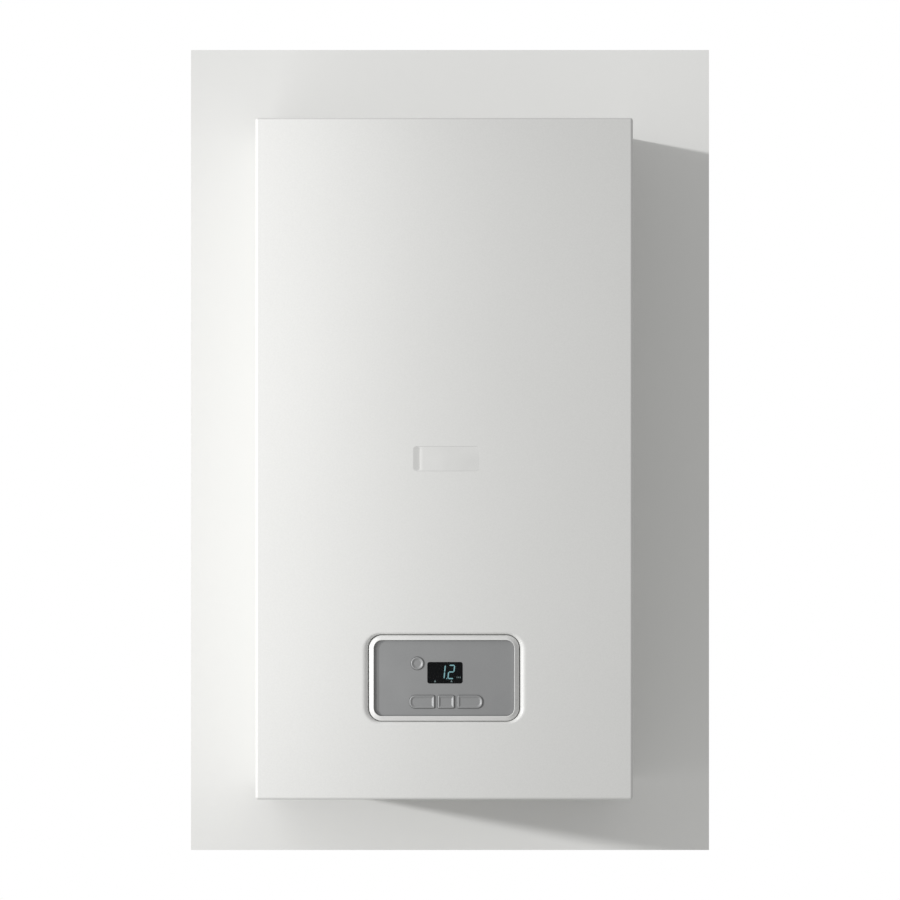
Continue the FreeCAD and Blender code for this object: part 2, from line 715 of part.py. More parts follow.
def pressed_bead(face, outward, x, z, length, tall, depth, sheet):
    """A long bead pressed out of a standing sheet, as its outside and the hollow behind it."""
    crest = face + outward * depth
    outside = panel_plate(face, crest, x, z, length, tall, tall * BEAD_END_SHARE)
    outside = outside.makeFillet(sheet, edges_in_plane(outside, Y, crest))
    start = face - outward * 2 * sheet
    narrow = tall - 2 * sheet
    hollow = panel_plate(start, crest - outward * sheet, x, z, length - 2 * sheet, narrow,
                         narrow * BEAD_END_SHARE)
    return outside, hollow


def folded_sheet(points, thickness, along, bend):
    """A sheet whose mid-thickness follows the points with round bends, as wide as the vector along."""
    half = unit(points[1] - points[0]).cross(unit(along)) * (thickness / 2)
    corners = [points[0] - half, points[0] + half, points[0] + half + along, points[0] - half + along]
    profile = Part.makePolygon(corners + corners[:1])
    return bent_path(points, bend).makePipeShell([profile], True, False)


def edges_in_plane(shape, normal, level):
    """The edges that lie whole in the plane at a level along a normal."""
    return [edge for edge in shape.Edges
            if all(abs(corner.Point.dot(normal) - level) < TOUCH for corner in edge.Vertexes)]


def edges_along(shape, direction):
    """The straight edges that run along a direction."""
    found = []
    for edge in shape.Edges:
        if isinstance(edge.Curve, Part.Line) and abs(edge.Curve.Direction.dot(direction)) > 1 - TOUCH:
            found.append(edge)
    return found


def joined(shapes):
    """One solid from shapes that overlap or touch."""
    shapes = list(shapes)
    return shapes[0].fuse(shapes[1:]).removeSplitter()


def joined_in_turn(shapes):
    """One solid from shapes that are joined one after another."""
    shapes = list(shapes)
    whole = shapes[0]
    for shape in shapes[1:]:
        whole = whole.fuse(shape)
    return whole.removeSplitter()


def mirrored_pair(shape):
    """A shape and its mirror image in the plane X = 0."""
    return [shape, shape.mirror(V(0, 0, 0), X)]


# Casing

def wall_rail():
    """A strip for two wall screws, with two folded hooks that carry the back panel."""
    half = RAIL_HEIGHT / 2
    strip = block(-RAIL_WIDTH / 2, RAIL_WIDTH / 2, -RAIL_SHEET, 0, RAIL_SCREW_HEIGHT - half, RAIL_TOP)
    middle = -RAIL_SHEET / 2
    tip = PANEL_FRONT - HOOK_REACH + RAIL_SHEET / 2
    shelf = RAIL_TOP - RAIL_SHEET / 2
    pieces = [strip]
    for x in (-HOOK_SPACING / 2, HOOK_SPACING / 2):
        left = x - HOOK_WIDTH / 2
        points = [V(left, middle, RAIL_SCREW_HEIGHT), V(left, middle, shelf), V(left, tip, shelf),
                  V(left, tip, RAIL_TOP + HOOK_LIP)]
        pieces.append(folded_sheet(points, RAIL_SHEET, X * HOOK_WIDTH, RAIL_BEND))
    rail = joined(pieces)
    for x in (-RAIL_SCREW_SPACING / 2, RAIL_SCREW_SPACING / 2):
        rail = rail.cut(rod(RAIL_SCREW_RADIUS, V(x, -RAIL_SHEET - OVERRUN, RAIL_SCREW_HEIGHT),
                            V(x, OVERRUN, RAIL_SCREW_HEIGHT)))
    return rail


def wall_spacers():
    """Two bushes that keep the boiler's foot off the wall."""
    bush = ring(SPACER_RADIUS, SPACER_BORE, V(SPACER_SPACING / 2, PANEL_REAR, SPACER_HEIGHT),
                V(SPACER_SPACING / 2, 0, SPACER_HEIGHT))
    return Part.makeCompound(mirrored_pair(bush))


def back_panel():
    """The rear sheet with folded sides, a window for each hook and beads that stiffen it."""
    edge = INNER_HALF - CASE_SHEET / 2
    middle = PANEL_REAR - CASE_SHEET / 2
    lip = PANEL_REAR - BACK_FLANGE
    points = [V(-edge, lip, 0), V(-edge, middle, 0), V(edge, middle, 0), V(edge, lip, 0)]
    panel = folded_sheet(points, CASE_SHEET, Z * SIDE_TOP, SHEET_BEND)
    half = HOOK_WIDTH / 2 + HOOK_SLACK
    window_base = RAIL_TOP - RAIL_SHEET - HOOK_LIP - HOOK_SLACK
    for x in (-HOOK_SPACING / 2, HOOK_SPACING / 2):
        panel = panel.cut(block(x - half, x + half, PANEL_FRONT - OVERRUN, PANEL_REAR + OVERRUN,
                                window_base, RAIL_TOP))
    for share in BACK_BEAD_SHARES:
        outside, hollow = pressed_bead(PANEL_REAR, 1, 0, CASE_HEIGHT * share, BACK_BEAD_LENGTH,
                                       BACK_BEAD_TALL, BACK_BEAD_DEPTH, CASE_SHEET)
        panel = panel.fuse(outside).cut(hollow)
    return panel


def side_panel():
    """The right-hand side sheet, folded in at the rear and at the front."""
    web = CASE_HALF - CASE_SHEET / 2
    rear = -CASE_SHEET / 2
    front = SIDE_FRONT + CASE_SHEET / 2
    points = [V(CASE_HALF - SIDE_REAR_FLANGE, rear, 0), V(web, rear, 0), V(web, front, 0),
              V(CASE_HALF - SIDE_FRONT_FLANGE, front, 0)]
    return folded_sheet(points, CASE_SHEET, Z * SIDE_TOP, SHEET_BEND)


def flue_screw_holes(base, top):
    """The cutters for the flue flange's ring of screws."""
    holes = []
    for n in range(FLUE_SCREW_COUNT):
        angle = 2 * math.pi * (n + HALF_SHARE) / FLUE_SCREW_COUNT
        x = FLUE_SCREW_CIRCLE * math.cos(angle)
        y = FLUE_Y + FLUE_SCREW_CIRCLE * math.sin(angle)
        holes.append(rod(FLUE_SCREW_RADIUS, V(x, y, base), V(x, y, top)))
    return holes


def top_panel():
    """The lid, with the flue's hole and folded edges at the front and sides."""
    edge = CASE_HALF - SIDE_FRONT_FLANGE - SEAT_GAP
    low = CASE_HEIGHT - TOP_FLANGE
    sheet = block(-CASE_HALF, CASE_HALF, SIDE_FRONT, 0, SIDE_TOP, CASE_HEIGHT)
    front = block(-edge, edge, SIDE_FRONT, SIDE_FRONT + CASE_SHEET, low, SIDE_TOP)
    side = block(INNER_HALF - CASE_SHEET, INNER_HALF, SIDE_FRONT + TOP_FLANGE_INSET, -TOP_FLANGE_INSET,
                 low, SIDE_TOP)
    lid = joined([sheet, front] + mirrored_pair(side))
    below = V(0, FLUE_Y, SIDE_TOP - OVERRUN)
    above = V(0, FLUE_Y, CASE_HEIGHT + OVERRUN)
    return lid.cut([rod(FLUE_HOLE_RADIUS, below, above)] + flue_screw_holes(below.z, above.z))


def flue_flange():
    """The ring on the lid that takes the outer flue pipe and its screws."""
    base = V(0, FLUE_Y, CASE_HEIGHT)
    top = base + Z * FLUE_FLANGE
    flange = rod(FLUE_FLANGE_RADIUS, base, top)
    flange = flange.makeChamfer(FLUE_FLANGE_EDGE, edges_in_plane(flange, Z, top.z))
    cutters = flue_screw_holes(base.z - OVERRUN, top.z + OVERRUN)
    return flange.cut([rod(FLUE_HOLE_RADIUS, base - Z * OVERRUN, top + Z * OVERRUN)] + cutters)


def front_crossbar():
    """The bar across the casing's foot, with a shelf that takes the cover screws in open notches."""
    edge = INNER_HALF - SHEET_BEND
    shelf_edge = CASE_HALF - SIDE_FRONT_FLANGE - SHELF_SPACE
    web_front = SIDE_FRONT + CASE_SHEET
    web_rear = web_front + CASE_SHEET
    web = block(-edge, edge, web_front, web_rear, TAB_BASE, CROSSBAR_TOP)
    lip = block(-edge, edge, web_front, web_front + PLATE_FLANGE, CROSSBAR_TOP - CASE_SHEET, CROSSBAR_TOP)
    shelf = block(-shelf_edge, shelf_edge, SCREW_Y - DIMPLE_RADIUS, web_rear, TAB_BASE, TAB_BASE + CASE_SHEET)
    bar = joined([web, lip, shelf])
    gap = COVER_SCREW_RADIUS + SCREW_HOLE_GAP
    for x in (-COVER_SCREW_SPACING / 2, COVER_SCREW_SPACING / 2):
        notch = rod(gap, V(x, SCREW_Y, 0), V(x, SCREW_Y, CROSSBAR_TOP))
        slot = block(x - gap, x + gap, SCREW_Y - DIMPLE_RADIUS - OVERRUN, SCREW_Y, 0, CROSSBAR_TOP)
        bar = bar.cut([notch, slot])
    return bar


def connection_places():
    """The five pipe connections from left to right, as place and thread radius."""
    radii = (LARGE_THREAD_RADIUS, SMALL_THREAD_RADIUS, LARGE_THREAD_RADIUS, SMALL_THREAD_RADIUS,
             LARGE_THREAD_RADIUS)
    return [((n - len(radii) // 2) * CONNECTION_PITCH, radius) for n, radius in enumerate(radii)]


def connection_plate():
    """The folded plate that the water blocks and pipe connections stand on."""
    edge = INNER_HALF - CASE_SHEET - SHEET_BEND
    level = CONNECTION_HEIGHT - PLATE_SHEET / 2
    rear = PANEL_FRONT - PLATE_SHEET / 2
    front = PANEL_FRONT - PLATE_REACH + PLATE_SHEET / 2
    points = [V(-edge, rear, CONNECTION_HEIGHT + PLATE_FLANGE), V(-edge, rear, level), V(-edge, front, level),
              V(-edge, front, CONNECTION_HEIGHT - PLATE_FLANGE)]
    plate = folded_sheet(points, PLATE_SHEET, X * (2 * edge), CHAMBER_BEND)
    holes = [(x, radius - NECK_STEP + SEAT_GAP) for x, radius in connection_places()]
    holes.append((CROSS_X, TAP_RADIUS + SEAT_GAP))
    for x, radius in holes:
        plate = plate.cut(rod(radius, V(x, CONNECTION_Y, 0), V(x, CONNECTION_Y, CONNECTION_HEIGHT)))
    return plate


# Front cover

def cover_block(inset):
    """The cover's outside, or its inside when set in by the sheet, with rounded front edges."""
    rear = COVER_REAR + (OVERRUN if inset else 0)
    body = block(-CASE_HALF + inset, CASE_HALF - inset, CASE_FRONT + inset, rear, inset, CASE_HEIGHT - inset)
    edges = edges_along(body, Y) + edges_in_plane(body, Y, CASE_FRONT + inset)
    return body.makeFillet(COVER_EDGE_RADIUS - inset, edges)


def cover_hem():
    """The edge turned in at the cover's two sides and top, for the gasket."""
    low = DIMPLE_DEPTH
    plate = block(-INNER_HALF, INNER_HALF, COVER_REAR - CASE_SHEET, COVER_REAR, low, SIDE_TOP)
    edge = CASE_HALF - COVER_HEM
    return plate.cut(block(-edge, edge, CASE_FRONT, OVERRUN, -OVERRUN, CASE_HEIGHT - COVER_HEM))


def opening_loft(margin):
    """The panel opening's rolled-in edge, or its outside when a margin is added."""
    wires = []
    for n in range(ROLL_STEPS + 1):
        angle = math.pi / 2 * n / ROLL_STEPS
        inward = math.sin(angle)
        width = RECESS_WIDTH + (OPENING_WIDTH - RECESS_WIDTH) * inward
        tall = RECESS_TALL + (OPENING_TALL - RECESS_TALL) * inward
        corner = RECESS_CORNER + (OPENING_CORNER - RECESS_CORNER) * inward
        level = CASE_FRONT + RECESS_DEPTH * (1 - math.cos(angle))
        wires.append(panel_wire(level, 0, PANEL_HEIGHT, width + 2 * margin, tall + 2 * margin, corner + margin))
    return loft(*wires)


def badge_loft(margin, depth):
    """The badge's shallow recess, or its outside when a margin is added."""
    front = panel_wire(CASE_FRONT, BADGE_OFFSET, BADGE_HEIGHT, BADGE_RECESS_WIDTH + 2 * margin,
                       BADGE_RECESS_TALL + 2 * margin, BADGE_CORNER + margin)
    rear = panel_wire(CASE_FRONT + depth, BADGE_OFFSET, BADGE_HEIGHT, BADGE_WIDTH + 2 * (margin + SEAT_GAP),
                      BADGE_TALL + 2 * (margin + SEAT_GAP), BADGE_CORNER + margin)
    return loft(front, rear)


def front_cover():
    """The pressed pan with its sunk panel opening, badge recess and screw dimples."""
    pan = cover_block(0).cut(cover_block(CASE_SHEET))
    dimples = []
    hollows = []
    for x in (-COVER_SCREW_SPACING / 2, COVER_SCREW_SPACING / 2):
        foot = V(x, SCREW_Y, 0)
        dimples.append(rod(DIMPLE_RADIUS + CASE_SHEET, foot, foot + Z * (DIMPLE_DEPTH + CASE_SHEET)))
        hollows.append(rod(DIMPLE_RADIUS, foot - Z * OVERRUN, foot + Z * DIMPLE_DEPTH))
        hollows.append(rod(COVER_SCREW_RADIUS + SEAT_GAP, foot, foot + Z * (DIMPLE_DEPTH + OVERRUN)))
    sunk = [opening_loft(RECESS_WALL), badge_loft(BADGE_WALL, BADGE_DEPTH + BADGE_WALL)]
    cover = joined([pan, cover_hem()] + sunk + dimples)
    return cover.cut(hollows + [opening_loft(0), badge_loft(0, BADGE_DEPTH)])


def badge_plate():
    """The bare plate in the badge recess."""
    face = CASE_FRONT - BADGE_PROUD
    plate = panel_plate(face, CASE_FRONT + BADGE_DEPTH, BADGE_OFFSET, BADGE_HEIGHT, BADGE_WIDTH, BADGE_TALL,
                        BADGE_CORNER)
    return plate.makeFillet(BADGE_EDGE, edges_in_plane(plate, Y, face))


def cover_gasket():
    """The foam strip round the cover's rear edge."""
    edge = CASE_HALF - GASKET_INSET
    inner = edge - GASKET_WIDTH
    top = CASE_HEIGHT - GASKET_INSET
    strip = block(-edge, edge, COVER_REAR, SIDE_FRONT, TAB_BASE + CASE_SHEET + SEAT_GAP, top)
    return strip.cut(block(-inner, inner, COVER_REAR, SIDE_FRONT, 0, top - GASKET_WIDTH))


def cover_screws():
    """Two screws through the dimples in the cover's lower edge."""
    foot = V(COVER_SCREW_SPACING / 2, SCREW_Y, DIMPLE_DEPTH)
    head = rod(COVER_SCREW_HEAD_RADIUS, foot - Z * COVER_SCREW_HEAD, foot)
    shank = rod(COVER_SCREW_RADIUS, foot - Z * COVER_SCREW_HEAD, foot + Z * COVER_SCREW_LENGTH)
    return Part.makeCompound(mirrored_pair(joined([head, shank])))


# Control panel

def panel_bezel():
    """The ring round the panel, rounded towards the outside, with a pocket behind it for the fascia."""
    ring_rear = FASCIA_LEDGE
    shell = panel_plate(BEZEL_FRONT, HOUSING_FRONT, 0, PANEL_HEIGHT, BEZEL_WIDTH, BEZEL_TALL, BEZEL_CORNER)
    shell = shell.makeFillet(BEZEL_RING_RADIUS, edges_in_plane(shell, Y, BEZEL_FRONT))
    mouth = panel_plate(BEZEL_FRONT, HOUSING_FRONT, 0, PANEL_HEIGHT, FASCIA_WIDTH, FASCIA_TALL, FASCIA_CORNER)
    mouth_rim = edges_in_plane(mouth, Y, BEZEL_FRONT)
    shell = shell.cut(mouth)
    inner = [edge for edge in edges_in_plane(shell, Y, BEZEL_FRONT)
             if any(edge.distToShape(other)[0] < OVERRUN and abs(edge.Length - other.Length) < OVERRUN
                    for other in mouth_rim)]
    shell = shell.makeFillet(BEZEL_INNER_RADIUS, inner)
    pocket = panel_plate(ring_rear, HOUSING_FRONT, 0, PANEL_HEIGHT, FLANGE_WIDTH, FLANGE_TALL,
                         BEZEL_CORNER - BEZEL_WALL)
    return shell.cut(pocket)


def reset_wire(y, margin):
    """The round button's outline."""
    hub = V(RESET_X, y, PANEL_HEIGHT + RESET_Z)
    return Part.Wire(Part.makeCircle(RESET_RADIUS + margin, hub, Y))


def bar_wire(place, y, margin):
    """The outline of the left, middle or right bar button, counted from zero."""
    width = BAR_WIDTHS[place]
    left = BAR_LEFT + sum(BAR_WIDTHS[:place]) + place * BAR_WEB
    inner = max(BAR_INNER_RADIUS + margin, BAR_LEAST_RADIUS)
    outer = BAR_END_RADIUS + margin
    radius = outer if place == len(BAR_WIDTHS) - 1 else inner
    far_radius = outer if place == 0 else inner
    return panel_wire(y, left + width / 2, PANEL_HEIGHT + BAR_Z, width + 2 * margin, BAR_TALL + 2 * margin,
                      radius, far_radius)


def button_wires(y, margin):
    """The outlines of all four buttons: the round one, then the bars from left to right."""
    return [reset_wire(y, margin)] + [bar_wire(place, y, margin) for place in range(len(BAR_WIDTHS))]


def window_plate(y0, y1, margin):
    """A plate with the display window's outline and a margin."""
    return panel_plate(y0, y1, WINDOW_X, PANEL_HEIGHT + WINDOW_Z, WINDOW_WIDTH + 2 * margin,
                       WINDOW_TALL + 2 * margin, WINDOW_CORNER)


def fascia_post_places():
    """The four corners where the fascia's posts carry the display board."""
    half_width = FASCIA_WIDTH / 2 - FASCIA_POST_INSET
    half_tall = FASCIA_TALL / 2 - FASCIA_POST_INSET
    return [(x, PANEL_HEIGHT + z) for x in (-half_width, half_width) for z in (-half_tall, half_tall)]


def panel_fascia():
    """The silver tray with openings for the display and the buttons, and posts behind it."""
    face = panel_plate(FASCIA_RIM_FRONT, FASCIA_LEDGE, 0, PANEL_HEIGHT, FASCIA_WIDTH - 2 * SEAT_GAP,
                       FASCIA_TALL - 2 * SEAT_GAP, FASCIA_CORNER)
    mouth = panel_wire(FASCIA_RIM_FRONT, 0, PANEL_HEIGHT, FASCIA_WIDTH - 2 * FASCIA_RIM,
                       FASCIA_TALL - 2 * FASCIA_RIM, FASCIA_CORNER)
    flat = panel_wire(FASCIA_FRONT, 0, PANEL_HEIGHT, FASCIA_WIDTH - 2 * (FASCIA_RIM + FASCIA_SLOPE_WIDTH),
                      FASCIA_TALL - 2 * (FASCIA_RIM + FASCIA_SLOPE_TALL), FASCIA_FLAT_CORNER)
    face = face.cut(loft(mouth, flat))
    flange = panel_plate(FASCIA_LEDGE, FASCIA_REAR, 0, PANEL_HEIGHT, FLANGE_WIDTH - 2 * SEAT_GAP,
                         FLANGE_TALL - 2 * SEAT_GAP, BEZEL_CORNER - BEZEL_WALL)
    posts = [rod(FASCIA_POST_RADIUS, V(x, FASCIA_LEDGE, z), V(x, BOARD_FRONT, z))
             for x, z in fascia_post_places()]
    start = FASCIA_FRONT - OVERRUN
    depth = Y * (FASCIA_REAR - start)
    holes = [Part.Face(wire).extrude(depth) for wire in button_wires(start, RUNNING_GAP)]
    return joined([face, flange] + posts).cut(holes + [window_plate(start, FASCIA_REAR, 0)])


def panel_button(place):
    """A button cap with a dished face, and the flange that keeps it behind the fascia."""
    cap = Part.Face(button_wires(BUTTON_FRONT, 0)[place]).extrude(Y * (BUTTON_REAR - BUTTON_FRONT))
    cap = cap.makeFillet(BUTTON_EDGE, edges_in_plane(cap, Y, BUTTON_FRONT))
    dish = loft(button_wires(BUTTON_FRONT, -DISH_RIM)[place],
                button_wires(BUTTON_FRONT + DISH_DEPTH, -DISH_RIM - DISH_SLOPE)[place])
    cap = cap.cut(dish)
    flange = Part.Face(button_wires(BUTTON_FLANGE_FRONT, BUTTON_FLANGE)[place]).extrude(Y * BUTTON_FLANGE)
    return joined([cap, flange])


def display_window():
    """The clear pane in the fascia."""
    front = FASCIA_FRONT + WINDOW_SETBACK
    return window_plate(front, front + WINDOW_THICK, -SEAT_GAP)


def display_module():
    """The display behind the pane, stepped to reach into the fascia's opening."""
    face = FASCIA_FRONT + WINDOW_SETBACK + WINDOW_THICK + DISPLAY_GAP
    step = window_plate(face, BOARD_FRONT, -RUNNING_GAP)
    return joined([step, window_plate(BUTTON_FLANGE_FRONT, BOARD_FRONT, MODULE_MARGIN)])


def display_board():
    """The board behind the fascia with a switch under each button."""
    board = panel_plate(BOARD_FRONT, BOARD_FRONT + BOARD_THICK, 0, PANEL_HEIGHT,
                        FASCIA_WIDTH - 2 * BOARD_MARGIN, FASCIA_TALL - 2 * BOARD_MARGIN, BOARD_MARGIN)
    pieces = [board]
    half = SWITCH_BODY / 2
    for wire in button_wires(BOARD_FRONT, 0):
        middle = wire.BoundBox.Center
        body = block(middle.x - half, middle.x + half, SWITCH_TOP, BOARD_FRONT,
                     middle.z - half, middle.z + half)
        plunger = rod(SWITCH_PLUNGER, V(middle.x, PLUNGER_TOP, middle.z), V(middle.x, BOARD_FRONT, middle.z))
        pieces.append(joined([body, plunger]))
    return Part.makeCompound(pieces)


# Control box

def control_housing():
    """The moulded box behind the panel, open at the rear, with vents and two trunnions to swing on."""
    body = panel_plate(HOUSING_FRONT, HOUSING_REAR, 0, PANEL_HEIGHT, HOUSING_WIDTH, HOUSING_TALL,
                       HOUSING_CORNER)
    hollow = panel_plate(HOUSING_FRONT + HOUSING_WALL, HOUSING_REAR, 0, PANEL_HEIGHT,
                         HOUSING_WIDTH - 2 * HOUSING_WALL, HOUSING_TALL - 2 * HOUSING_WALL,
                         HOUSING_CORNER - HOUSING_WALL)
    opening = panel_plate(HOUSING_FRONT, HOUSING_REAR, 0, PANEL_HEIGHT, FASCIA_WIDTH, FASCIA_TALL,
                          FASCIA_CORNER)
    start = trunnion_start()
    pin = rod(TRUNNION_RADIUS, start - X * HOUSING_WALL, start + X * TRUNNION_LENGTH)
    return joined([body.cut([hollow, opening] + housing_vents())] + mirrored_pair(pin))


def housing_vents():
    """The cutters for a row of vents through the housing's upper wall."""
    middle = (HOUSING_FRONT + HOUSING_REAR) / 2
    top = HOUSING_BASE + HOUSING_TALL
    vents = []
    for n in range(HOUSING_VENTS):
        x = (n - (HOUSING_VENTS - 1) / 2) * HOUSING_VENT_PITCH
        vents.append(block(x - HOUSING_VENT_WIDTH / 2, x + HOUSING_VENT_WIDTH / 2,
                           middle - HOUSING_VENT_LENGTH / 2, middle + HOUSING_VENT_LENGTH / 2,
                           top - OVERRUN, top + OVERRUN))
    return vents


def trunnion_start():
    """Where the right-hand trunnion leaves the housing."""
    return V(HOUSING_WIDTH / 2, HOUSING_REAR - TRUNNION_INSET, HOUSING_BASE + TRUNNION_INSET)


def control_box_brackets():
    """Two folded brackets from the side panels, each with a bearing hole for a trunnion."""
    centre = trunnion_start()
    cheek = HOUSING_WIDTH / 2 + BRACKET_GAP + BRACKET_SHEET / 2
    base = centre.z - TRUNNION_INSET
    rear = centre.y + BRACKET_DEPTH / 2
    wall = INNER_HALF - BRACKET_SHEET / 2
    points = [V(cheek, rear - BRACKET_DEPTH, base), V(cheek, rear, base), V(wall, rear, base),
              V(wall, rear - BRACKET_FOOT, base)]
    bracket = folded_sheet(points, BRACKET_SHEET, Z * BRACKET_TALL, CHAMBER_BEND)
    bracket = bracket.cut(rod(TRUNNION_RADIUS + SEAT_GAP, centre, centre + X * (TRUNNION_LENGTH + OVERRUN)))
    return Part.makeCompound(mirrored_pair(bracket))


def main_board_posts():
    """The four places where the rear cover's posts carry the main board."""
    half_width = MAIN_BOARD_WIDTH / 2 - BOARD_POST_INSET
    half_tall = MAIN_BOARD_TALL / 2 - BOARD_POST_INSET
    return [(x, PANEL_HEIGHT + z) for x in (-half_width, half_width) for z in (-half_tall, half_tall)]


def control_rear_cover():
    """The box's rear lid, with board posts and open cable entries in its lower edge."""
    lid = panel_plate(HOUSING_REAR, HOUSING_REAR + HOUSING_WALL, 0, PANEL_HEIGHT, HOUSING_WIDTH, HOUSING_TALL,
                      HOUSING_CORNER)
    posts = [rod(BOARD_POST_RADIUS, V(x, MAIN_BOARD_REAR, z), V(x, HOUSING_REAR, z))
             for x, z in main_board_posts()]
    entries = []
    for n in range(CABLE_ENTRY_COUNT):
        x = (n - (CABLE_ENTRY_COUNT - 1) / 2) * CABLE_ENTRY_SPACING
        hub = V(x, HOUSING_REAR - OVERRUN, HOUSING_BASE)
        entries.append(rod(CABLE_ENTRY_RADIUS, hub, hub + Y * (HOUSING_WALL + 2 * OVERRUN)))
    return joined([lid] + posts).cut(entries)


def on_main_board(x, z, width, tall, depth):
    """A block component that stands on the main board."""
    face = MAIN_BOARD_REAR - BOARD_THICK
    return block(x - width / 2, x + width / 2, face - depth, face, z - tall / 2, z + tall / 2)


def main_board():
    """The boiler's circuit board with its transformer, relays, capacitors and plug rows."""
    face = MAIN_BOARD_REAR - BOARD_THICK
    pieces = [panel_plate(face, MAIN_BOARD_REAR, 0, PANEL_HEIGHT, MAIN_BOARD_WIDTH, MAIN_BOARD_TALL,
                          BOARD_MARGIN)]
    left = -MAIN_BOARD_WIDTH / 2
    top = PANEL_HEIGHT + MAIN_BOARD_TALL / 2
    low = PANEL_HEIGHT - MAIN_BOARD_TALL / 2
    pieces.append(on_main_board(left + TRANSFORMER_SIZE, top - TRANSFORMER_SIZE, TRANSFORMER_SIZE,
                                TRANSFORMER_SIZE, TRANSFORMER_TALL))
    for n in range(RELAY_COUNT):
        x = left + 2 * TRANSFORMER_SIZE + (n + HALF_SHARE) * RELAY_PITCH
        pieces.append(on_main_board(x, top - TRANSFORMER_SIZE, RELAY_WIDTH, RELAY_DEPTH, RELAY_TALL))
    for n in range(CAPACITOR_COUNT):
        foot = V(-left - 2 * TRANSFORMER_SIZE + n * CAPACITOR_PITCH, face, top - TRANSFORMER_SIZE)
        pieces.append(rod(CAPACITOR_RADIUS, foot, foot - Y * CAPACITOR_TALL))
    for n in range(CONNECTOR_COUNT):
        x = (n - (CONNECTOR_COUNT - 1) / 2) * CONNECTOR_PITCH
        pieces.append(on_main_board(x, low + CONNECTOR_DEPTH, CONNECTOR_WIDTH, CONNECTOR_DEPTH,
                                    CONNECTOR_TALL))
    return Part.makeCompound(pieces)


# Combustion chamber and burner

def chamber_plates():
    """The chamber's two side plates, each with a foot on the side panel, and its rear plate."""
    inner = CHAMBER_HALF - CHAMBER_SHEET
    side = block(inner, CHAMBER_HALF, CHAMBER_FRONT, CHAMBER_REAR, CHAMBER_BASE, EXCHANGER_BASE)
    foot_level = CHAMBER_BASE + CHAMBER_SHEET / 2
    wall = INNER_HALF - CHAMBER_SHEET / 2
    start = CHAMBER_Y - FOOT_WIDTH / 2
    points = [V(CHAMBER_HALF, start, foot_level), V(wall, start, foot_level),
              V(wall, start, CHAMBER_BASE + FOOT_TALL)]
    side = joined([side, folded_sheet(points, CHAMBER_SHEET, Y * FOOT_WIDTH, CHAMBER_BEND)])
    rear = block(-inner, inner, CHAMBER_REAR - CHAMBER_SHEET, CHAMBER_REAR, CHAMBER_BASE, EXCHANGER_BASE)
    return Part.makeCompound(mirrored_pair(side) + [rear])


def chamber_front_holes(radius_margin, start, end):
    """The cutters for the sight glass and electrodes through the chamber's front."""
    sight = CHAMBER_BASE + SIGHT_RISE
    holes = [rod(SIGHT_RADIUS, V(SIGHT_X, start, sight), V(SIGHT_X, end, sight))]
    level = CHAMBER_BASE + ELECTRODE_RISE
    for x in ELECTRODE_X:
        holes.append(rod(CERAMIC_RADIUS + radius_margin, V(x, start, level), V(x, end, level)))
    return holes


def chamber_front_plate():
    """The chamber's removable front plate, stiffened by two beads."""
    front = CHAMBER_FRONT - CHAMBER_SHEET
    plate = block(-CHAMBER_HALF, CHAMBER_HALF, front, CHAMBER_FRONT, CHAMBER_BASE, EXCHANGER_BASE)
    for share in CHAMBER_BEAD_SHARES:
        level = CHAMBER_BASE + CHAMBER_TALL * share
        outside, hollow = pressed_bead(front, -1, 0, level, CHAMBER_BEAD_LENGTH, CHAMBER_BEAD_TALL,
                                       CHAMBER_BEAD_DEPTH, CHAMBER_SHEET)
        plate = plate.fuse(outside).cut(hollow)
    return plate.cut(chamber_front_holes(SEAT_GAP, front - OVERRUN, CHAMBER_FRONT + OVERRUN))


def sight_glass():
    """The glass disc over the sight hole."""
    seat = V(SIGHT_X, CHAMBER_FRONT - CHAMBER_SHEET, CHAMBER_BASE + SIGHT_RISE)
    return rod(SIGHT_RADIUS + SIGHT_RIM, seat, seat - Y * SIGHT_THICK)


def insulation_boards():
    """Four ceramic boards that line the chamber."""
    inner = CHAMBER_HALF - CHAMBER_SHEET
    core = inner - INSULATION
    rear = CHAMBER_REAR - CHAMBER_SHEET
    base = CHAMBER_BASE + INSULATION_SLACK
    top = EXCHANGER_BASE - INSULATION_SLACK
    side = block(core, inner, CHAMBER_FRONT, rear, base, top)
    back = block(-core, core, rear - INSULATION, rear, base, top)
    face = block(-core, core, CHAMBER_FRONT, CHAMBER_FRONT + INSULATION, base, top)
    face = face.cut(chamber_front_holes(SEAT_GAP, CHAMBER_FRONT - OVERRUN, rear))
    return Part.makeCompound(mirrored_pair(side) + [back, face])


def ignition_electrodes():
    """Two spark electrodes and a flame sensor: ceramic rods with wire tips."""
    level = CHAMBER_BASE + ELECTRODE_RISE
    pieces = []
    for x in ELECTRODE_X:
        start = V(x, CHAMBER_FRONT - CERAMIC_AHEAD, level)
        end = V(x, CHAMBER_FRONT + CERAMIC_BEHIND, level)
        ceramic = rod(CERAMIC_RADIUS, start, end)
        tip = rod(TIP_RADIUS, start - Y * CERAMIC_RADIUS, end + Y * TIP_LENGTH)
        pieces.append(joined([ceramic, tip]))
    return Part.makeCompound(pieces)


def blade_places():
    """The middles of the burner blades."""
    return [(n - (BLADE_COUNT - 1) / 2) * BLADE_PITCH for n in range(BLADE_COUNT)]


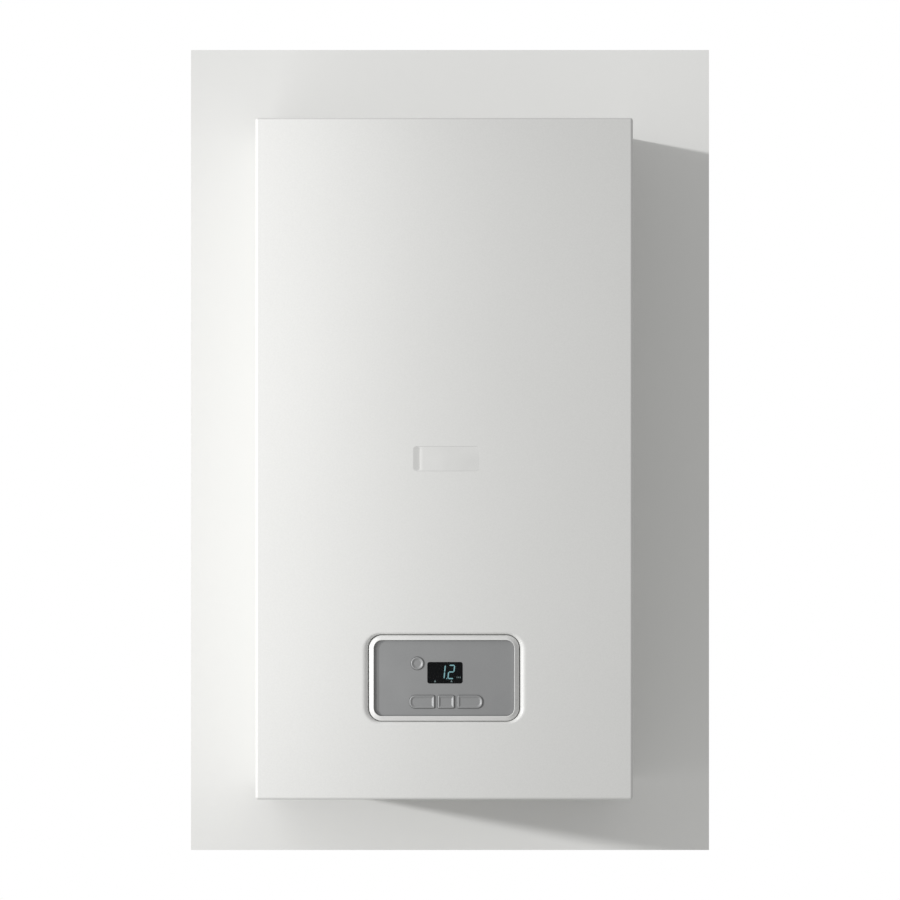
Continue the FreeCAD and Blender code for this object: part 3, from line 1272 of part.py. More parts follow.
def burner_frame():
    """The open frame under the chamber that holds the blades, with a flange on top."""
    wall = BURNER_SHEET
    frame = block(-BURNER_HALF, BURNER_HALF, BURNER_FRONT, BURNER_REAR, BURNER_BASE, CHAMBER_BASE)
    flange = block(-CHAMBER_HALF, CHAMBER_HALF, CHAMBER_FRONT, CHAMBER_REAR,
                   CHAMBER_BASE - wall, CHAMBER_BASE)
    hollow = block(-BURNER_HALF + wall, BURNER_HALF - wall, BURNER_FRONT + wall, BURNER_REAR - wall,
                   BURNER_BASE - OVERRUN, CHAMBER_BASE + OVERRUN)
    mouths = [rod(MOUTH_RADIUS + SEAT_GAP, V(x, BURNER_FRONT - OVERRUN, MOUTH_Z),
                  V(x, BURNER_FRONT + OVERRUN, MOUTH_Z)) for x in blade_places()]
    return joined([frame, flange]).cut([hollow] + mouths)


def burner_blades():
    """Slim blades side by side, each with flame slots on top and a mouth towards its injector."""
    front = BURNER_FRONT + BURNER_SHEET
    rear = BURNER_REAR - BURNER_SHEET
    top = BURNER_BASE + BLADE_TALL
    body = panel_plate(front, rear, 0, BURNER_BASE + BLADE_TALL / 2, BLADE_WIDTH, BLADE_TALL, BLADE_CORNER)
    mouth = rod(MOUTH_RADIUS, V(0, BURNER_FRONT - MOUTH_REACH, MOUTH_Z), V(0, front + MOUTH_REACH, MOUTH_Z))
    start = V(0, BURNER_FRONT - MOUTH_REACH, MOUTH_Z)
    cutters = [rod(MOUTH_BORE, start, start + Y * MOUTH_DEPTH)]
    pitch = (rear - front) / (BLADE_SLOTS + 1)
    half = pitch * BLADE_SLOT_SHARE / 2
    for n in range(BLADE_SLOTS):
        middle = front + (n + 1) * pitch
        cutters.append(block(-BLADE_SLOT_WIDTH / 2, BLADE_SLOT_WIDTH / 2, middle - half, middle + half,
                             top - BLADE_SLOT_DEPTH, top + OVERRUN))
    blade = joined([body, mouth]).cut(cutters)
    return Part.makeCompound([blade.translated(X * x) for x in blade_places()])


def gas_manifold():
    """The square gas rail with an injector for each blade and tabs to the burner frame."""
    centre = V(-MANIFOLD_HALF, MANIFOLD_Y, MOUTH_Z)
    rail = Part.Face(rounded_wire(centre, Y, Z, MANIFOLD_SIZE, MANIFOLD_SIZE, MANIFOLD_CORNER))
    rail = rail.extrude(X * (2 * MANIFOLD_HALF))
    injector_end = MANIFOLD_REAR + INJECTOR_REACH
    injectors = [rod(INJECTOR_RADIUS, V(x, MANIFOLD_Y, MOUTH_Z), V(x, injector_end, MOUTH_Z))
                 for x in blade_places()]
    half = MANIFOLD_TAB_TALL / 2
    tab = block(MANIFOLD_HALF - MANIFOLD_TAB, MANIFOLD_HALF, MANIFOLD_Y, BURNER_FRONT,
                MOUTH_Z - half, MOUTH_Z + half)
    boss = rod(MANIFOLD_BOSS_RADIUS, V(0, MANIFOLD_Y, MANIFOLD_INLET), V(0, MANIFOLD_Y, MOUTH_Z))
    bore = rod(GAS_PIPE_RADIUS - COPPER_WALL, V(0, MANIFOLD_Y, MANIFOLD_INLET), V(0, MANIFOLD_Y, MOUTH_Z))
    return joined([rail, boss] + injectors + mirrored_pair(tab)).cut(bore)


# Heat exchanger and flue

def tube_place(number):
    """The depth of a heat exchanger tube, counted from the front."""
    return CHAMBER_Y + (number - (EXCHANGER_TUBES - 1) / 2) * TUBE_PITCH


def return_bend(number, side):
    """The half-round bend from one tube to the next, at the left or right end."""
    first = V(side * CHAMBER_HALF, tube_place(number), TUBE_Z)
    last = V(side * CHAMBER_HALF, tube_place(number + 1), TUBE_Z)
    middle = (first + last) / 2 + X * (side * TUBE_PITCH / 2)
    path = Part.Wire(Part.Arc(first, middle, last).toShape())
    profile = Part.Wire(Part.makeCircle(TUBE_RADIUS, first, X))
    return path.makePipeShell([profile], True, False)


def heat_exchanger():
    """Copper fins on five tubes in a row, joined end to end by return bends."""
    top = HOOD_BASE
    inner = CHAMBER_HALF - EXCHANGER_END
    pitch = 2 * inner / (FIN_COUNT + 1)
    half = pitch * FIN_SHARE / 2
    fins = []
    for n in range(FIN_COUNT):
        x = -inner + (n + 1) * pitch
        fins.append(block(x - half, x + half, CHAMBER_FRONT, CHAMBER_REAR, EXCHANGER_BASE, top))
    end = block(inner, CHAMBER_HALF, CHAMBER_FRONT, CHAMBER_REAR, EXCHANGER_BASE, top)
    tubes = []
    for n in range(EXCHANGER_TUBES):
        left = NIPPLE_X if n == EXCHANGER_TUBES - 1 else CHAMBER_HALF
        right = NIPPLE_X if n == 0 else CHAMBER_HALF
        tubes.append(rod(TUBE_RADIUS, V(-left, tube_place(n), TUBE_Z), V(right, tube_place(n), TUBE_Z)))
    bends = [return_bend(n, 1 if n % 2 else -1) for n in range(EXCHANGER_TUBES - 1)]
    return joined(tubes + mirrored_pair(end) + fins + bends)


def hood_solid(inset):
    """The hood's outside, or its inside when set in by the sheet."""
    neck_y = FAN_REAR + HOOD_NECK_DEPTH / 2
    drop = OVERRUN if inset else 0
    neck_top = FAN_Z + HOOD_NECK_ABOVE - inset
    base = level_wire(HOOD_BASE, 0, CHAMBER_Y, CHAMBER_WIDTH - 2 * inset, CHAMBER_DEPTH - 2 * inset,
                      HOOD_CORNER)
    neck = level_wire(HOOD_NECK_BASE, 0, neck_y, HOOD_NECK_WIDTH - 2 * inset, HOOD_NECK_DEPTH - 2 * inset,
                      HOOD_CORNER)
    pieces = [loft(base, neck), Part.Face(neck).extrude(Z * (neck_top - HOOD_NECK_BASE))]
    if drop:
        pieces.append(Part.Face(base).extrude(-Z * drop))
    return joined(pieces)


def flue_hood():
    """The sheet hood that gathers the flue gas and hands it to the fan through its neck."""
    hub = V(FAN_X, FAN_REAR - OVERRUN, FAN_Z)
    hole = rod(FAN_INLET_RADIUS, hub, hub + Y * (2 * OVERRUN))
    return hood_solid(0).cut([hood_solid(FAN_SHEET), hole])


def scroll_wire(y, inset, top):
    """The fan housing's spiral, grown by quarter turns, with its outlet upwards."""
    hub = V(FAN_X, y, FAN_Z)
    side = hub - X * SCROLL_GROWTH
    last = side + Z * SCROLL_GROWTH
    tongue = FAN_X - OUTLET_WIDTH / 2
    turns = ((hub, SCROLL_RADIUS, 90), (side, SCROLL_RADIUS + SCROLL_GROWTH, 0),
             (last, SCROLL_WIDEST, -90))
    edges = []
    for centre, radius, start in turns:
        angles = [math.radians(start - share * 90) for share in (0, HALF_SHARE, 1)]
        points = [centre + (X * math.cos(a) + Z * math.sin(a)) * (radius - inset) for a in angles]
        edges.append(Part.Arc(*points).toShape())
    nose = hub + Z * (SCROLL_RADIUS + tongue)
    angles = [math.radians(180 + share * 90) for share in (0, HALF_SHARE, 1)]
    lip = [nose + (X * math.cos(a) + Z * math.sin(a)) * (tongue + inset) for a in angles]
    corners = [points[2], V(points[2].x, y, top), V(lip[0].x, y, top), lip[0]]
    for start, end in zip(corners, corners[1:]):
        edges.append(Part.LineSegment(start, end).toShape())
    edges.append(Part.Arc(*lip).toShape())
    return Part.Wire(edges)


def pressure_tap_levels():
    """The two heights at which the pressure tubes leave the fan housing."""
    return [FAN_Z + rise for rise in TUBE_NIPPLE_RISES]


def fan_scroll():
    """The fan's spiral housing and the plate that closes its front."""
    outer = Part.Face(scroll_wire(FAN_FRONT, 0, OUTLET_TOP)).extrude(Y * SCROLL_DEPTH)
    inner = Part.Face(scroll_wire(FAN_FRONT - OVERRUN, FAN_SHEET, OUTLET_TOP + OVERRUN))
    inner = inner.extrude(Y * (SCROLL_DEPTH + OVERRUN - FAN_SHEET))
    hub = V(FAN_X, FAN_FRONT, FAN_Z)
    inlet = rod(FAN_INLET_RADIUS, hub, hub + Y * (SCROLL_DEPTH + OVERRUN))
    taps = []
    for level in pressure_tap_levels():
        start = V(-OUTLET_WIDTH / 2 + FAN_SHEET, FLUE_Y, level)
        taps.append(rod(TAP_NIPPLE_RADIUS, start, start - X * TAP_NIPPLE_LENGTH))
    shell = joined([outer.cut([inner, inlet])] + taps)
    plate = Part.Face(scroll_wire(FAN_FRONT - FAN_SHEET, 0, OUTLET_TOP)).extrude(Y * FAN_SHEET)
    plate = plate.cut(rod(SHAFT_RADIUS + SHAFT_SPACE, hub - Y * OVERRUN, hub + Y * OVERRUN))
    return Part.makeCompound([shell, plate])


def fan_motor():
    """The motor on the fan's front plate: a laminated stack on posts, with bearing caps and a coil."""
    seat = V(FAN_X, FAN_FRONT - FAN_SHEET, FAN_Z)
    rear = seat.y - STACK_STANDOFF
    front = rear - STACK_DEPTH
    stack = panel_plate(front, rear, FAN_X, FAN_Z, STACK_SIZE, STACK_SIZE, STACK_CORNER)
    reach = STACK_SIZE / 2 - STACK_POST_INSET
    posts = [rod(STACK_POST_RADIUS, seat + X * x + Z * z, V(FAN_X + x, rear, FAN_Z + z))
             for x in (-reach, reach) for z in (-reach, reach)]
    cap = rod(STACK_CAP_RADIUS, V(FAN_X, rear + STACK_CAP * HALF_SHARE, FAN_Z),
              V(FAN_X, front - STACK_CAP, FAN_Z))
    base = FAN_Z - STACK_SIZE / 2 - FAN_COIL_MARGIN
    half = FAN_COIL_WIDTH / 2
    coil = block(FAN_X - half, FAN_X + half, front - FAN_COIL_MARGIN, rear + FAN_COIL_MARGIN,
                 base, base + FAN_COIL_TALL)
    coil = coil.makeFillet(FAN_COIL_MARGIN * HALF_SHARE, coil.Edges)
    bore = rod(SHAFT_RADIUS + SHAFT_GAP, seat + Y * OVERRUN, V(FAN_X, front - STACK_CAP - OVERRUN, FAN_Z))
    return joined([stack, coil, cap] + posts).cut(bore)


def fan_impeller():
    """The wheel on its shaft: a disc, tilted blades and a rim round the eye."""
    radius = SCROLL_RADIUS - IMPELLER_GAP
    disc_front = FAN_FRONT + IMPELLER_SIDE_SPACE
    disc_rear = disc_front + IMPELLER_SHEET
    rear = FAN_REAR - FAN_SHEET - IMPELLER_SIDE_SPACE
    axis = V(FAN_X, 0, FAN_Z)
    shaft_front = FAN_FRONT - FAN_SHEET - STACK_STANDOFF - STACK_DEPTH - STACK_CAP
    shaft = rod(SHAFT_RADIUS, axis + Y * shaft_front, axis + Y * rear)
    hub = rod(IMPELLER_HUB, axis + Y * disc_front, axis + Y * (disc_rear + IMPELLER_HUB))
    disc = rod(radius, axis + Y * disc_front, axis + Y * disc_rear)
    rim = ring(radius, IMPELLER_EYE, axis + Y * (rear - IMPELLER_SHEET), axis + Y * rear)
    chord = radius - IMPELLER_EYE
    blade = block(0, chord, disc_front, rear, -IMPELLER_SHEET / 2, IMPELLER_SHEET / 2)
    blade.rotate(V(chord / 2, 0, 0), Y, IMPELLER_TILT)
    blade.translate(axis + X * (radius - chord + (chord - chord * math.cos(math.radians(IMPELLER_TILT))) / 2
                                - IMPELLER_SHEET))
    blades = []
    for n in range(IMPELLER_BLADES):
        copy = blade.copy()
        copy.rotate(axis, Y, 360 * n / IMPELLER_BLADES)
        blades.append(copy)
    return joined([shaft, hub, disc, rim] + blades)


def spigot_solid(inset, base, top):
    """The way from the fan's square outlet to the round flue, or its bore when set in."""
    round_base = OUTLET_TOP + SPIGOT_LOFT
    radius = SPIGOT_RADIUS - inset
    square = level_wire(OUTLET_TOP, 0, FLUE_Y, OUTLET_WIDTH - 2 * inset, SCROLL_DEPTH - 2 * inset,
                        OUTLET_CORNER)
    circle = circle_wire(round_base, 0, FLUE_Y, radius)
    pieces = [loft(square, circle), rod(radius, V(0, FLUE_Y, round_base), V(0, FLUE_Y, top))]
    if base < OUTLET_TOP:
        pieces.append(Part.Face(square).extrude(Z * (base - OUTLET_TOP)))
    return joined(pieces)


def flue_spigot():
    """The sheet spigot from the fan's outlet up through the lid."""
    top = CASE_HEIGHT + SPIGOT_RISE
    outline = level_wire(OUTLET_TOP, 0, FLUE_Y, OUTLET_WIDTH + 2 * SPIGOT_RIM, SCROLL_DEPTH, OUTLET_CORNER)
    flange = Part.Face(outline).extrude(Z * FAN_SHEET)
    outer = joined([spigot_solid(0, OUTLET_TOP, top), flange])
    return outer.cut(spigot_solid(FAN_SHEET, OUTLET_TOP - OVERRUN, top + OVERRUN))


def switch_nipple_starts():
    """Where the two tubes leave the air pressure switch."""
    reach = AIR_SWITCH_RADIUS - SILICONE_RADIUS
    return [V(AIR_SWITCH_X + reach, FLUE_Y, AIR_SWITCH_Z - drop) for drop in TUBE_NIPPLE_DROPS]


def air_pressure_switch():
    """The round switch that proves the fan's draught, on a bracket from the lid."""
    hub = V(AIR_SWITCH_X, AIR_SWITCH_FRONT, AIR_SWITCH_Z)
    body = rod(AIR_SWITCH_RADIUS, hub, hub + Y * AIR_SWITCH_DEPTH)
    middle = V(AIR_SWITCH_X, AIR_SWITCH_FRONT + AIR_SWITCH_RIM, AIR_SWITCH_Z)
    rim = rod(AIR_SWITCH_RIM_RADIUS, middle, middle + Y * AIR_SWITCH_RIM)
    nipples = [rod(TAP_NIPPLE_RADIUS, start, start + X * TAP_NIPPLE_LENGTH)
               for start in switch_nipple_starts()]
    left = AIR_SWITCH_X - AIR_SWITCH_BRACKET_WIDTH / 2
    plane = AIR_SWITCH_REAR + AIR_SWITCH_BRACKET_SHEET / 2
    top = SIDE_TOP - AIR_SWITCH_BRACKET_SHEET / 2
    points = [V(left, plane, AIR_SWITCH_Z - AIR_SWITCH_BRACKET_WIDTH / 2), V(left, plane, top),
              V(left, plane + FOOT_TALL, top)]
    bracket = folded_sheet(points, AIR_SWITCH_BRACKET_SHEET, X * AIR_SWITCH_BRACKET_WIDTH, CHAMBER_BEND)
    return joined([body, rim, bracket] + nipples)


def pressure_tubes():
    """Two soft tubes from the fan housing to the pressure switch."""
    tubes = []
    end_x = -OUTLET_WIDTH / 2
    for place, (start, level) in enumerate(zip(switch_nipple_starts(), pressure_tap_levels())):
        drop = abs(start.z - AIR_SWITCH_Z) - SILICONE_RADIUS
        edge = AIR_SWITCH_X + math.sqrt(AIR_SWITCH_RIM_RADIUS ** 2 - drop ** 2)
        first = V(edge + SILICONE_GAP, FLUE_Y, start.z)
        middle = (first.x + end_x) / 2 + (HALF_SHARE - place) * SILICONE_STAGGER
        points = [first, V(middle, FLUE_Y, start.z), V(middle, FLUE_Y, level), V(end_x, FLUE_Y, level)]
        tubes.append(bent_tube(points, SILICONE_RADIUS, TAP_NIPPLE_RADIUS + SILICONE_GAP, SILICONE_BEND))
    return Part.makeCompound(tubes)


# Water and gas

def pipe_connections():
    """Five threaded stubs under the plate, each with a hexagon collar."""
    stubs = []
    under = CONNECTION_HEIGHT - PLATE_SHEET
    for x, radius in connection_places():
        end = V(x, CONNECTION_Y, CONNECTION_END)
        collar = V(x, CONNECTION_Y, under - CONNECTION_COLLAR)
        top = V(x, CONNECTION_Y, CONNECTION_HEIGHT)
        thread = rod(radius, end, collar)
        grip = hexagon(2 * (radius + HEX_MARGIN), collar, V(x, CONNECTION_Y, under))
        neck = rod(radius - NECK_STEP, collar, top)
        stubs.append(joined([thread, grip, neck]).cut(rod(radius - PIPE_WALL, end, top)))
    return Part.makeCompound(stubs)


def barrel(x):
    """An upright hollow barrel over a pipe connection, closed at the top."""
    foot = V(x, CONNECTION_Y, CONNECTION_HEIGHT)
    body = rod(BARREL_RADIUS, foot, foot + Z * BARREL_HEIGHT)
    return body.makeFillet(BARREL_EDGE, edges_in_plane(body, Z, BARREL_TOP))


def water_block(side, pads):
    """Two barrels joined by a cross barrel, with rear ports, on the left (-1) or right (1)."""
    near = side * CONNECTION_PITCH
    far = 2 * near
    pieces = [barrel(near), barrel(far)]
    pieces.append(rod(CROSS_RADIUS, V(near, CONNECTION_Y, CROSS_Z), V(far, CONNECTION_Y, CROSS_Z)))
    pieces += [rod(PORT_RADIUS, V(near, CONNECTION_Y, z), V(near, PLATES_FRONT, z)) for z in PORT_LEVELS]
    bores = []
    for x in (near, far):
        foot = V(x, CONNECTION_Y, CONNECTION_HEIGHT - OVERRUN)
        bores.append(rod(BARREL_BORE, foot, V(x, CONNECTION_Y, BARREL_TOP - BARREL_RADIUS + BARREL_BORE)))
    return joined_in_turn(pieces + pads).cut(bores)


def flow_block():
    """The left-hand block: heating flow and hot water outlet."""
    pads = [rod(DIVERTER_PAD_RADIUS, V(-CROSS_X, CONNECTION_Y, CROSS_Z),
                V(-CROSS_X, CONNECTION_Y - DIVERTER_PAD_REACH, CROSS_Z)),
            rod(SAFETY_PAD_RADIUS, V(-2 * CONNECTION_PITCH, CONNECTION_Y, SAFETY_Z),
                V(-2 * CONNECTION_PITCH, SAFETY_REAR, SAFETY_Z))]
    return water_block(-1, pads)


def return_block():
    """The right-hand block: cold inlet, heating return and the pump's seat."""
    pads = [rod(PUMP_PAD_RADIUS, V(CROSS_X, CONNECTION_Y, CROSS_Z), V(CROSS_X, PUMP_REAR, CROSS_Z)),
            rod(BOSS_RADIUS, V(CROSS_X, CONNECTION_Y, CROSS_BOSS_BASE),
                V(CROSS_X, CONNECTION_Y, CROSS_BOSS_TOP))]
    return water_block(1, pads)


def plate_heat_exchanger():
    """A brazed stack of plates behind the water blocks."""
    rear = PLATES_FRONT + PLATES_DEPTH
    core = panel_plate(PLATES_FRONT, rear, 0, CROSS_Z, PLATES_WIDTH - 2 * PLATES_RIM,
                       PLATES_TALL - 2 * PLATES_RIM, PLATES_CORNER - PLATES_RIM)
    pitch = PLATES_DEPTH / PLATES_COUNT
    plates = [core]
    for n in range(PLATES_COUNT):
        front = PLATES_FRONT + n * pitch
        plates.append(panel_plate(front, front + pitch * PLATES_RIM_SHARE, 0, CROSS_Z, PLATES_WIDTH,
                                  PLATES_TALL, PLATES_CORNER))
    return joined(plates)


def pump_volute():
    """The pump's cast body on the return block."""
    rear = V(CROSS_X, PUMP_REAR, CROSS_Z)
    body = rod(VOLUTE_RADIUS, rear, rear - Y * VOLUTE_DEPTH)
    return body.makeFillet(VOLUTE_EDGE, edges_in_plane(body, Y, PUMP_REAR))


def pump_motor():
    """The pump's ribbed motor can with its vent screw cap and terminal box."""
    rear = V(CROSS_X, VOLUTE_FRONT, CROSS_Z)
    front = V(CROSS_X, MOTOR_FRONT, CROSS_Z)
    can = rod(MOTOR_RADIUS, rear, front)
    can = can.makeFillet(MOTOR_EDGE, edges_in_plane(can, Y, front.y))
    cap = rod(MOTOR_CAP_RADIUS, rear, front - Y * MOTOR_CAP)
    rib = block(CROSS_X - MOTOR_RIB_WIDTH / 2, CROSS_X + MOTOR_RIB_WIDTH / 2, front.y + MOTOR_EDGE, rear.y,
                CROSS_Z, CROSS_Z + MOTOR_RADIUS + MOTOR_RIB)
    ribs = []
    for n in range(MOTOR_RIBS):
        copy = rib.copy()
        copy.rotate(rear, Y, 360 * n / MOTOR_RIBS)
        ribs.append(copy)
    half = TERMINAL_WIDTH / 2
    top = CROSS_Z + MOTOR_RADIUS
    depth = (rear.y - front.y) * TERMINAL_DEPTH_SHARE
    box = block(CROSS_X - half, CROSS_X + half, front.y + MOTOR_EDGE, front.y + MOTOR_EDGE + depth,
                top - TERMINAL_TALL, top + TERMINAL_TALL / 2)
    return joined([can, cap, box] + ribs)


def air_vent():
    """The automatic air vent on the return block."""
    foot = V(CONNECTION_PITCH, CONNECTION_Y, BARREL_TOP)
    top = foot + Z * VENT_TALL
    return joined([rod(VENT_RADIUS, foot, top), rod(VENT_CAP_RADIUS, foot, top + Z * VENT_CAP)])


def diverter_motor():
    """The motor that turns the diverter valve in the flow block."""
    rear = CONNECTION_Y - DIVERTER_PAD_REACH
    front = rear - DIVERTER_DEPTH
    body = panel_plate(front, rear, -CROSS_X, CROSS_Z, DIVERTER_WIDTH, DIVERTER_TALL, DIVERTER_CORNER)
    return body.makeFillet(DIVERTER_CORNER * HALF_SHARE, edges_in_plane(body, Y, front))


def fluted_knob(base, axis, other):
    """A turning knob with flutes round its rim, bored for its spindle."""
    knob = rod(KNOB_RADIUS, base, base + axis * KNOB_TALL)
    cutters = [rod(SPINDLE_RADIUS + RUNNING_GAP, base, base + axis * (SPINDLE_LENGTH + SEAT_GAP))]
    across = axis.cross(other)
    for n in range(KNOB_FLUTES):
        angle = 2 * math.pi * n / KNOB_FLUTES
        outward = other * math.cos(angle) + across * math.sin(angle)
        foot = base + outward * (KNOB_RADIUS + KNOB_FLUTE_RADIUS / 2)
        cutters.append(rod(KNOB_FLUTE_RADIUS, foot, foot + axis * KNOB_TALL))
    return knob.cut(cutters)


def safety_valve():
    """The safety valve's body with the spindle its knob turns on."""
    rear = V(-2 * CONNECTION_PITCH, SAFETY_REAR, SAFETY_Z)
    front = rear - Y * SAFETY_DEPTH
    return joined([rod(SAFETY_RADIUS, rear, front), rod(SPINDLE_RADIUS, rear, front - Y * SPINDLE_LENGTH)])


def safety_valve_knob():
    """The safety valve's test knob."""
    return fluted_knob(V(-2 * CONNECTION_PITCH, SAFETY_FRONT - RUNNING_GAP, SAFETY_Z), -Y, X)


def filling_tap():
    """The filling tap under the return block, with the spindle its knob turns on."""
    top = V(CROSS_X, CONNECTION_Y, CROSS_BOSS_BASE)
    end = V(CROSS_X, CONNECTION_Y, TAP_END)
    return joined([rod(TAP_RADIUS, end, top), rod(SPINDLE_RADIUS, end - Z * SPINDLE_LENGTH, top)])


def filling_tap_knob():
    """The filling tap's knob, reached from below."""
    return fluted_knob(V(CROSS_X, CONNECTION_Y, TAP_END - RUNNING_GAP), -Z, X)


def flow_pipe():
    """Hot water from the heat exchanger's last tube down to the flow block."""
    x = -2 * CONNECTION_PITCH
    y = tube_place(EXCHANGER_TUBES - 1)
    points = [V(x, CONNECTION_Y, BARREL_TOP), V(x, CONNECTION_Y, PIPE_LEVEL), V(-PIPE_SIDE, y, PIPE_LEVEL),
              V(-PIPE_SIDE, y, TUBE_Z), V(-NIPPLE_X, y, TUBE_Z)]
    return union_pipe(points, WATER_PIPE_RADIUS, WATER_BEND)


def return_pipe():
    """Cooled water from the return block up to the heat exchanger's first tube."""
    x = 2 * CONNECTION_PITCH
    y = tube_place(0)
    points = [V(x, CONNECTION_Y, BARREL_TOP), V(x, CONNECTION_Y, PIPE_LEVEL), V(PIPE_SIDE, y, PIPE_LEVEL),
              V(PIPE_SIDE, y, TUBE_Z), V(NIPPLE_X, y, TUBE_Z)]
    return union_pipe(points, WATER_PIPE_RADIUS, WATER_BEND)


def gas_pipes():
    """The pipe from the gas connection to the valve, and the one from the valve to the manifold."""
    inlet = union_pipe([V(0, CONNECTION_Y, CONNECTION_HEIGHT), V(0, CONNECTION_Y, VALVE_INLET)],
                       GAS_INLET_RADIUS, GAS_BEND)
    points = [V(0, VALVE_OUTLET_Y, VALVE_OUTLET), V(0, VALVE_OUTLET_Y, GAS_RUN), V(0, MANIFOLD_Y, GAS_RUN),
              V(0, MANIFOLD_Y, MANIFOLD_INLET)]
    feed = union_pipe(points, GAS_PIPE_RADIUS, GAS_BEND)
    return Part.makeCompound([inlet, feed])


def gas_valve():
    """The gas valve's cast body with its plug socket, and its two coils."""
    half = VALVE_DEPTH / 2
    front = CONNECTION_Y - half
    body = Part.Face(level_wire(VALVE_HEIGHT, 0, CONNECTION_Y, VALVE_WIDTH, VALVE_DEPTH, VALVE_CORNER))
    body = body.extrude(Z * VALVE_TALL)
    inlet = rod(VALVE_BOSS_RADIUS, V(0, CONNECTION_Y, VALVE_INLET), V(0, CONNECTION_Y, VALVE_HEIGHT))
    outlet = rod(VALVE_BOSS_RADIUS, V(0, VALVE_OUTLET_Y, VALVE_TOP), V(0, VALVE_OUTLET_Y, VALVE_OUTLET))
    middle = VALVE_HEIGHT + VALVE_TALL / 2
    side = V(VALVE_WIDTH / 2, CONNECTION_Y, middle)
    socket = Part.Face(rounded_wire(side, Y, Z, VALVE_PLUG_WIDTH, VALVE_PLUG_TALL, VALVE_PLUG_CORNER))
    socket = socket.extrude(X * VALVE_PLUG_REACH)
    coils = []
    for x in (-COIL_SPREAD / 2, COIL_SPREAD / 2):
        seat = V(x, front, middle)
        collar = rod(COIL_COLLAR_RADIUS, seat, seat - Y * COIL_COLLAR)
        coils.append(joined([collar, rod(COIL_RADIUS, seat - Y * COIL_COLLAR, seat - Y * COIL_DEPTH)]))
    return Part.makeCompound([joined([body, inlet, outlet, socket])] + coils)


def vessel_pan(rim, face):
    """One half of the expansion vessel: a pressed pan with a flat rim."""
    toward = 1 if face > rim else -1
    outer = panel_plate(rim, face, 0, VESSEL_Z, VESSEL_WIDTH, VESSEL_TALL, VESSEL_CORNER)
    outer = outer.makeFillet(VESSEL_EDGE, edges_in_plane(outer, Y, face))
    floor = face - toward * VESSEL_SHEET
    inner = panel_plate(rim, floor, 0, VESSEL_Z, VESSEL_WIDTH - 2 * VESSEL_SHEET,
                        VESSEL_TALL - 2 * VESSEL_SHEET, VESSEL_CORNER - VESSEL_SHEET)
    inner = inner.makeFillet(VESSEL_EDGE - VESSEL_SHEET, edges_in_plane(inner, Y, floor))
    edge = panel_plate(rim, rim + toward * VESSEL_SHEET, 0, VESSEL_Z, VESSEL_WIDTH + 2 * VESSEL_RIM,
                       VESSEL_TALL + 2 * VESSEL_RIM, VESSEL_CORNER + VESSEL_RIM)
    return joined([outer, edge]).cut(inner)


def expansion_vessel():
    """A flat vessel of two pans with a diaphragm between their rims, against the back panel."""
    front = vessel_pan(RIM_FRONT, VESSEL_FRONT)
    start = V(CROSS_X, NIPPLE_Y, NIPPLE_END)
    end = V(CROSS_X, NIPPLE_Y, VESSEL_BASE + NIPPLE_LENGTH)
    front = joined([front, rod(NIPPLE_RADIUS, start, end)])
    diaphragm = panel_plate(RIM_FRONT, RIM_REAR, 0, VESSEL_Z, VESSEL_WIDTH + 2 * VESSEL_RIM,
                            VESSEL_TALL + 2 * VESSEL_RIM, VESSEL_CORNER + VESSEL_RIM)
    return Part.makeCompound([front, diaphragm, vessel_pan(RIM_REAR, PANEL_FRONT)])


def vessel_pipe():
    """The thin pipe from the expansion vessel to the return block."""
    points = [V(CROSS_X, NIPPLE_Y, NIPPLE_END), V(CROSS_X, NIPPLE_Y, VESSEL_PIPE_LEVEL),
              V(CROSS_X, CONNECTION_Y, VESSEL_PIPE_LEVEL), V(CROSS_X, CONNECTION_Y, CROSS_BOSS_TOP)]
    return union_pipe(points, VESSEL_PIPE_RADIUS, VESSEL_BEND)


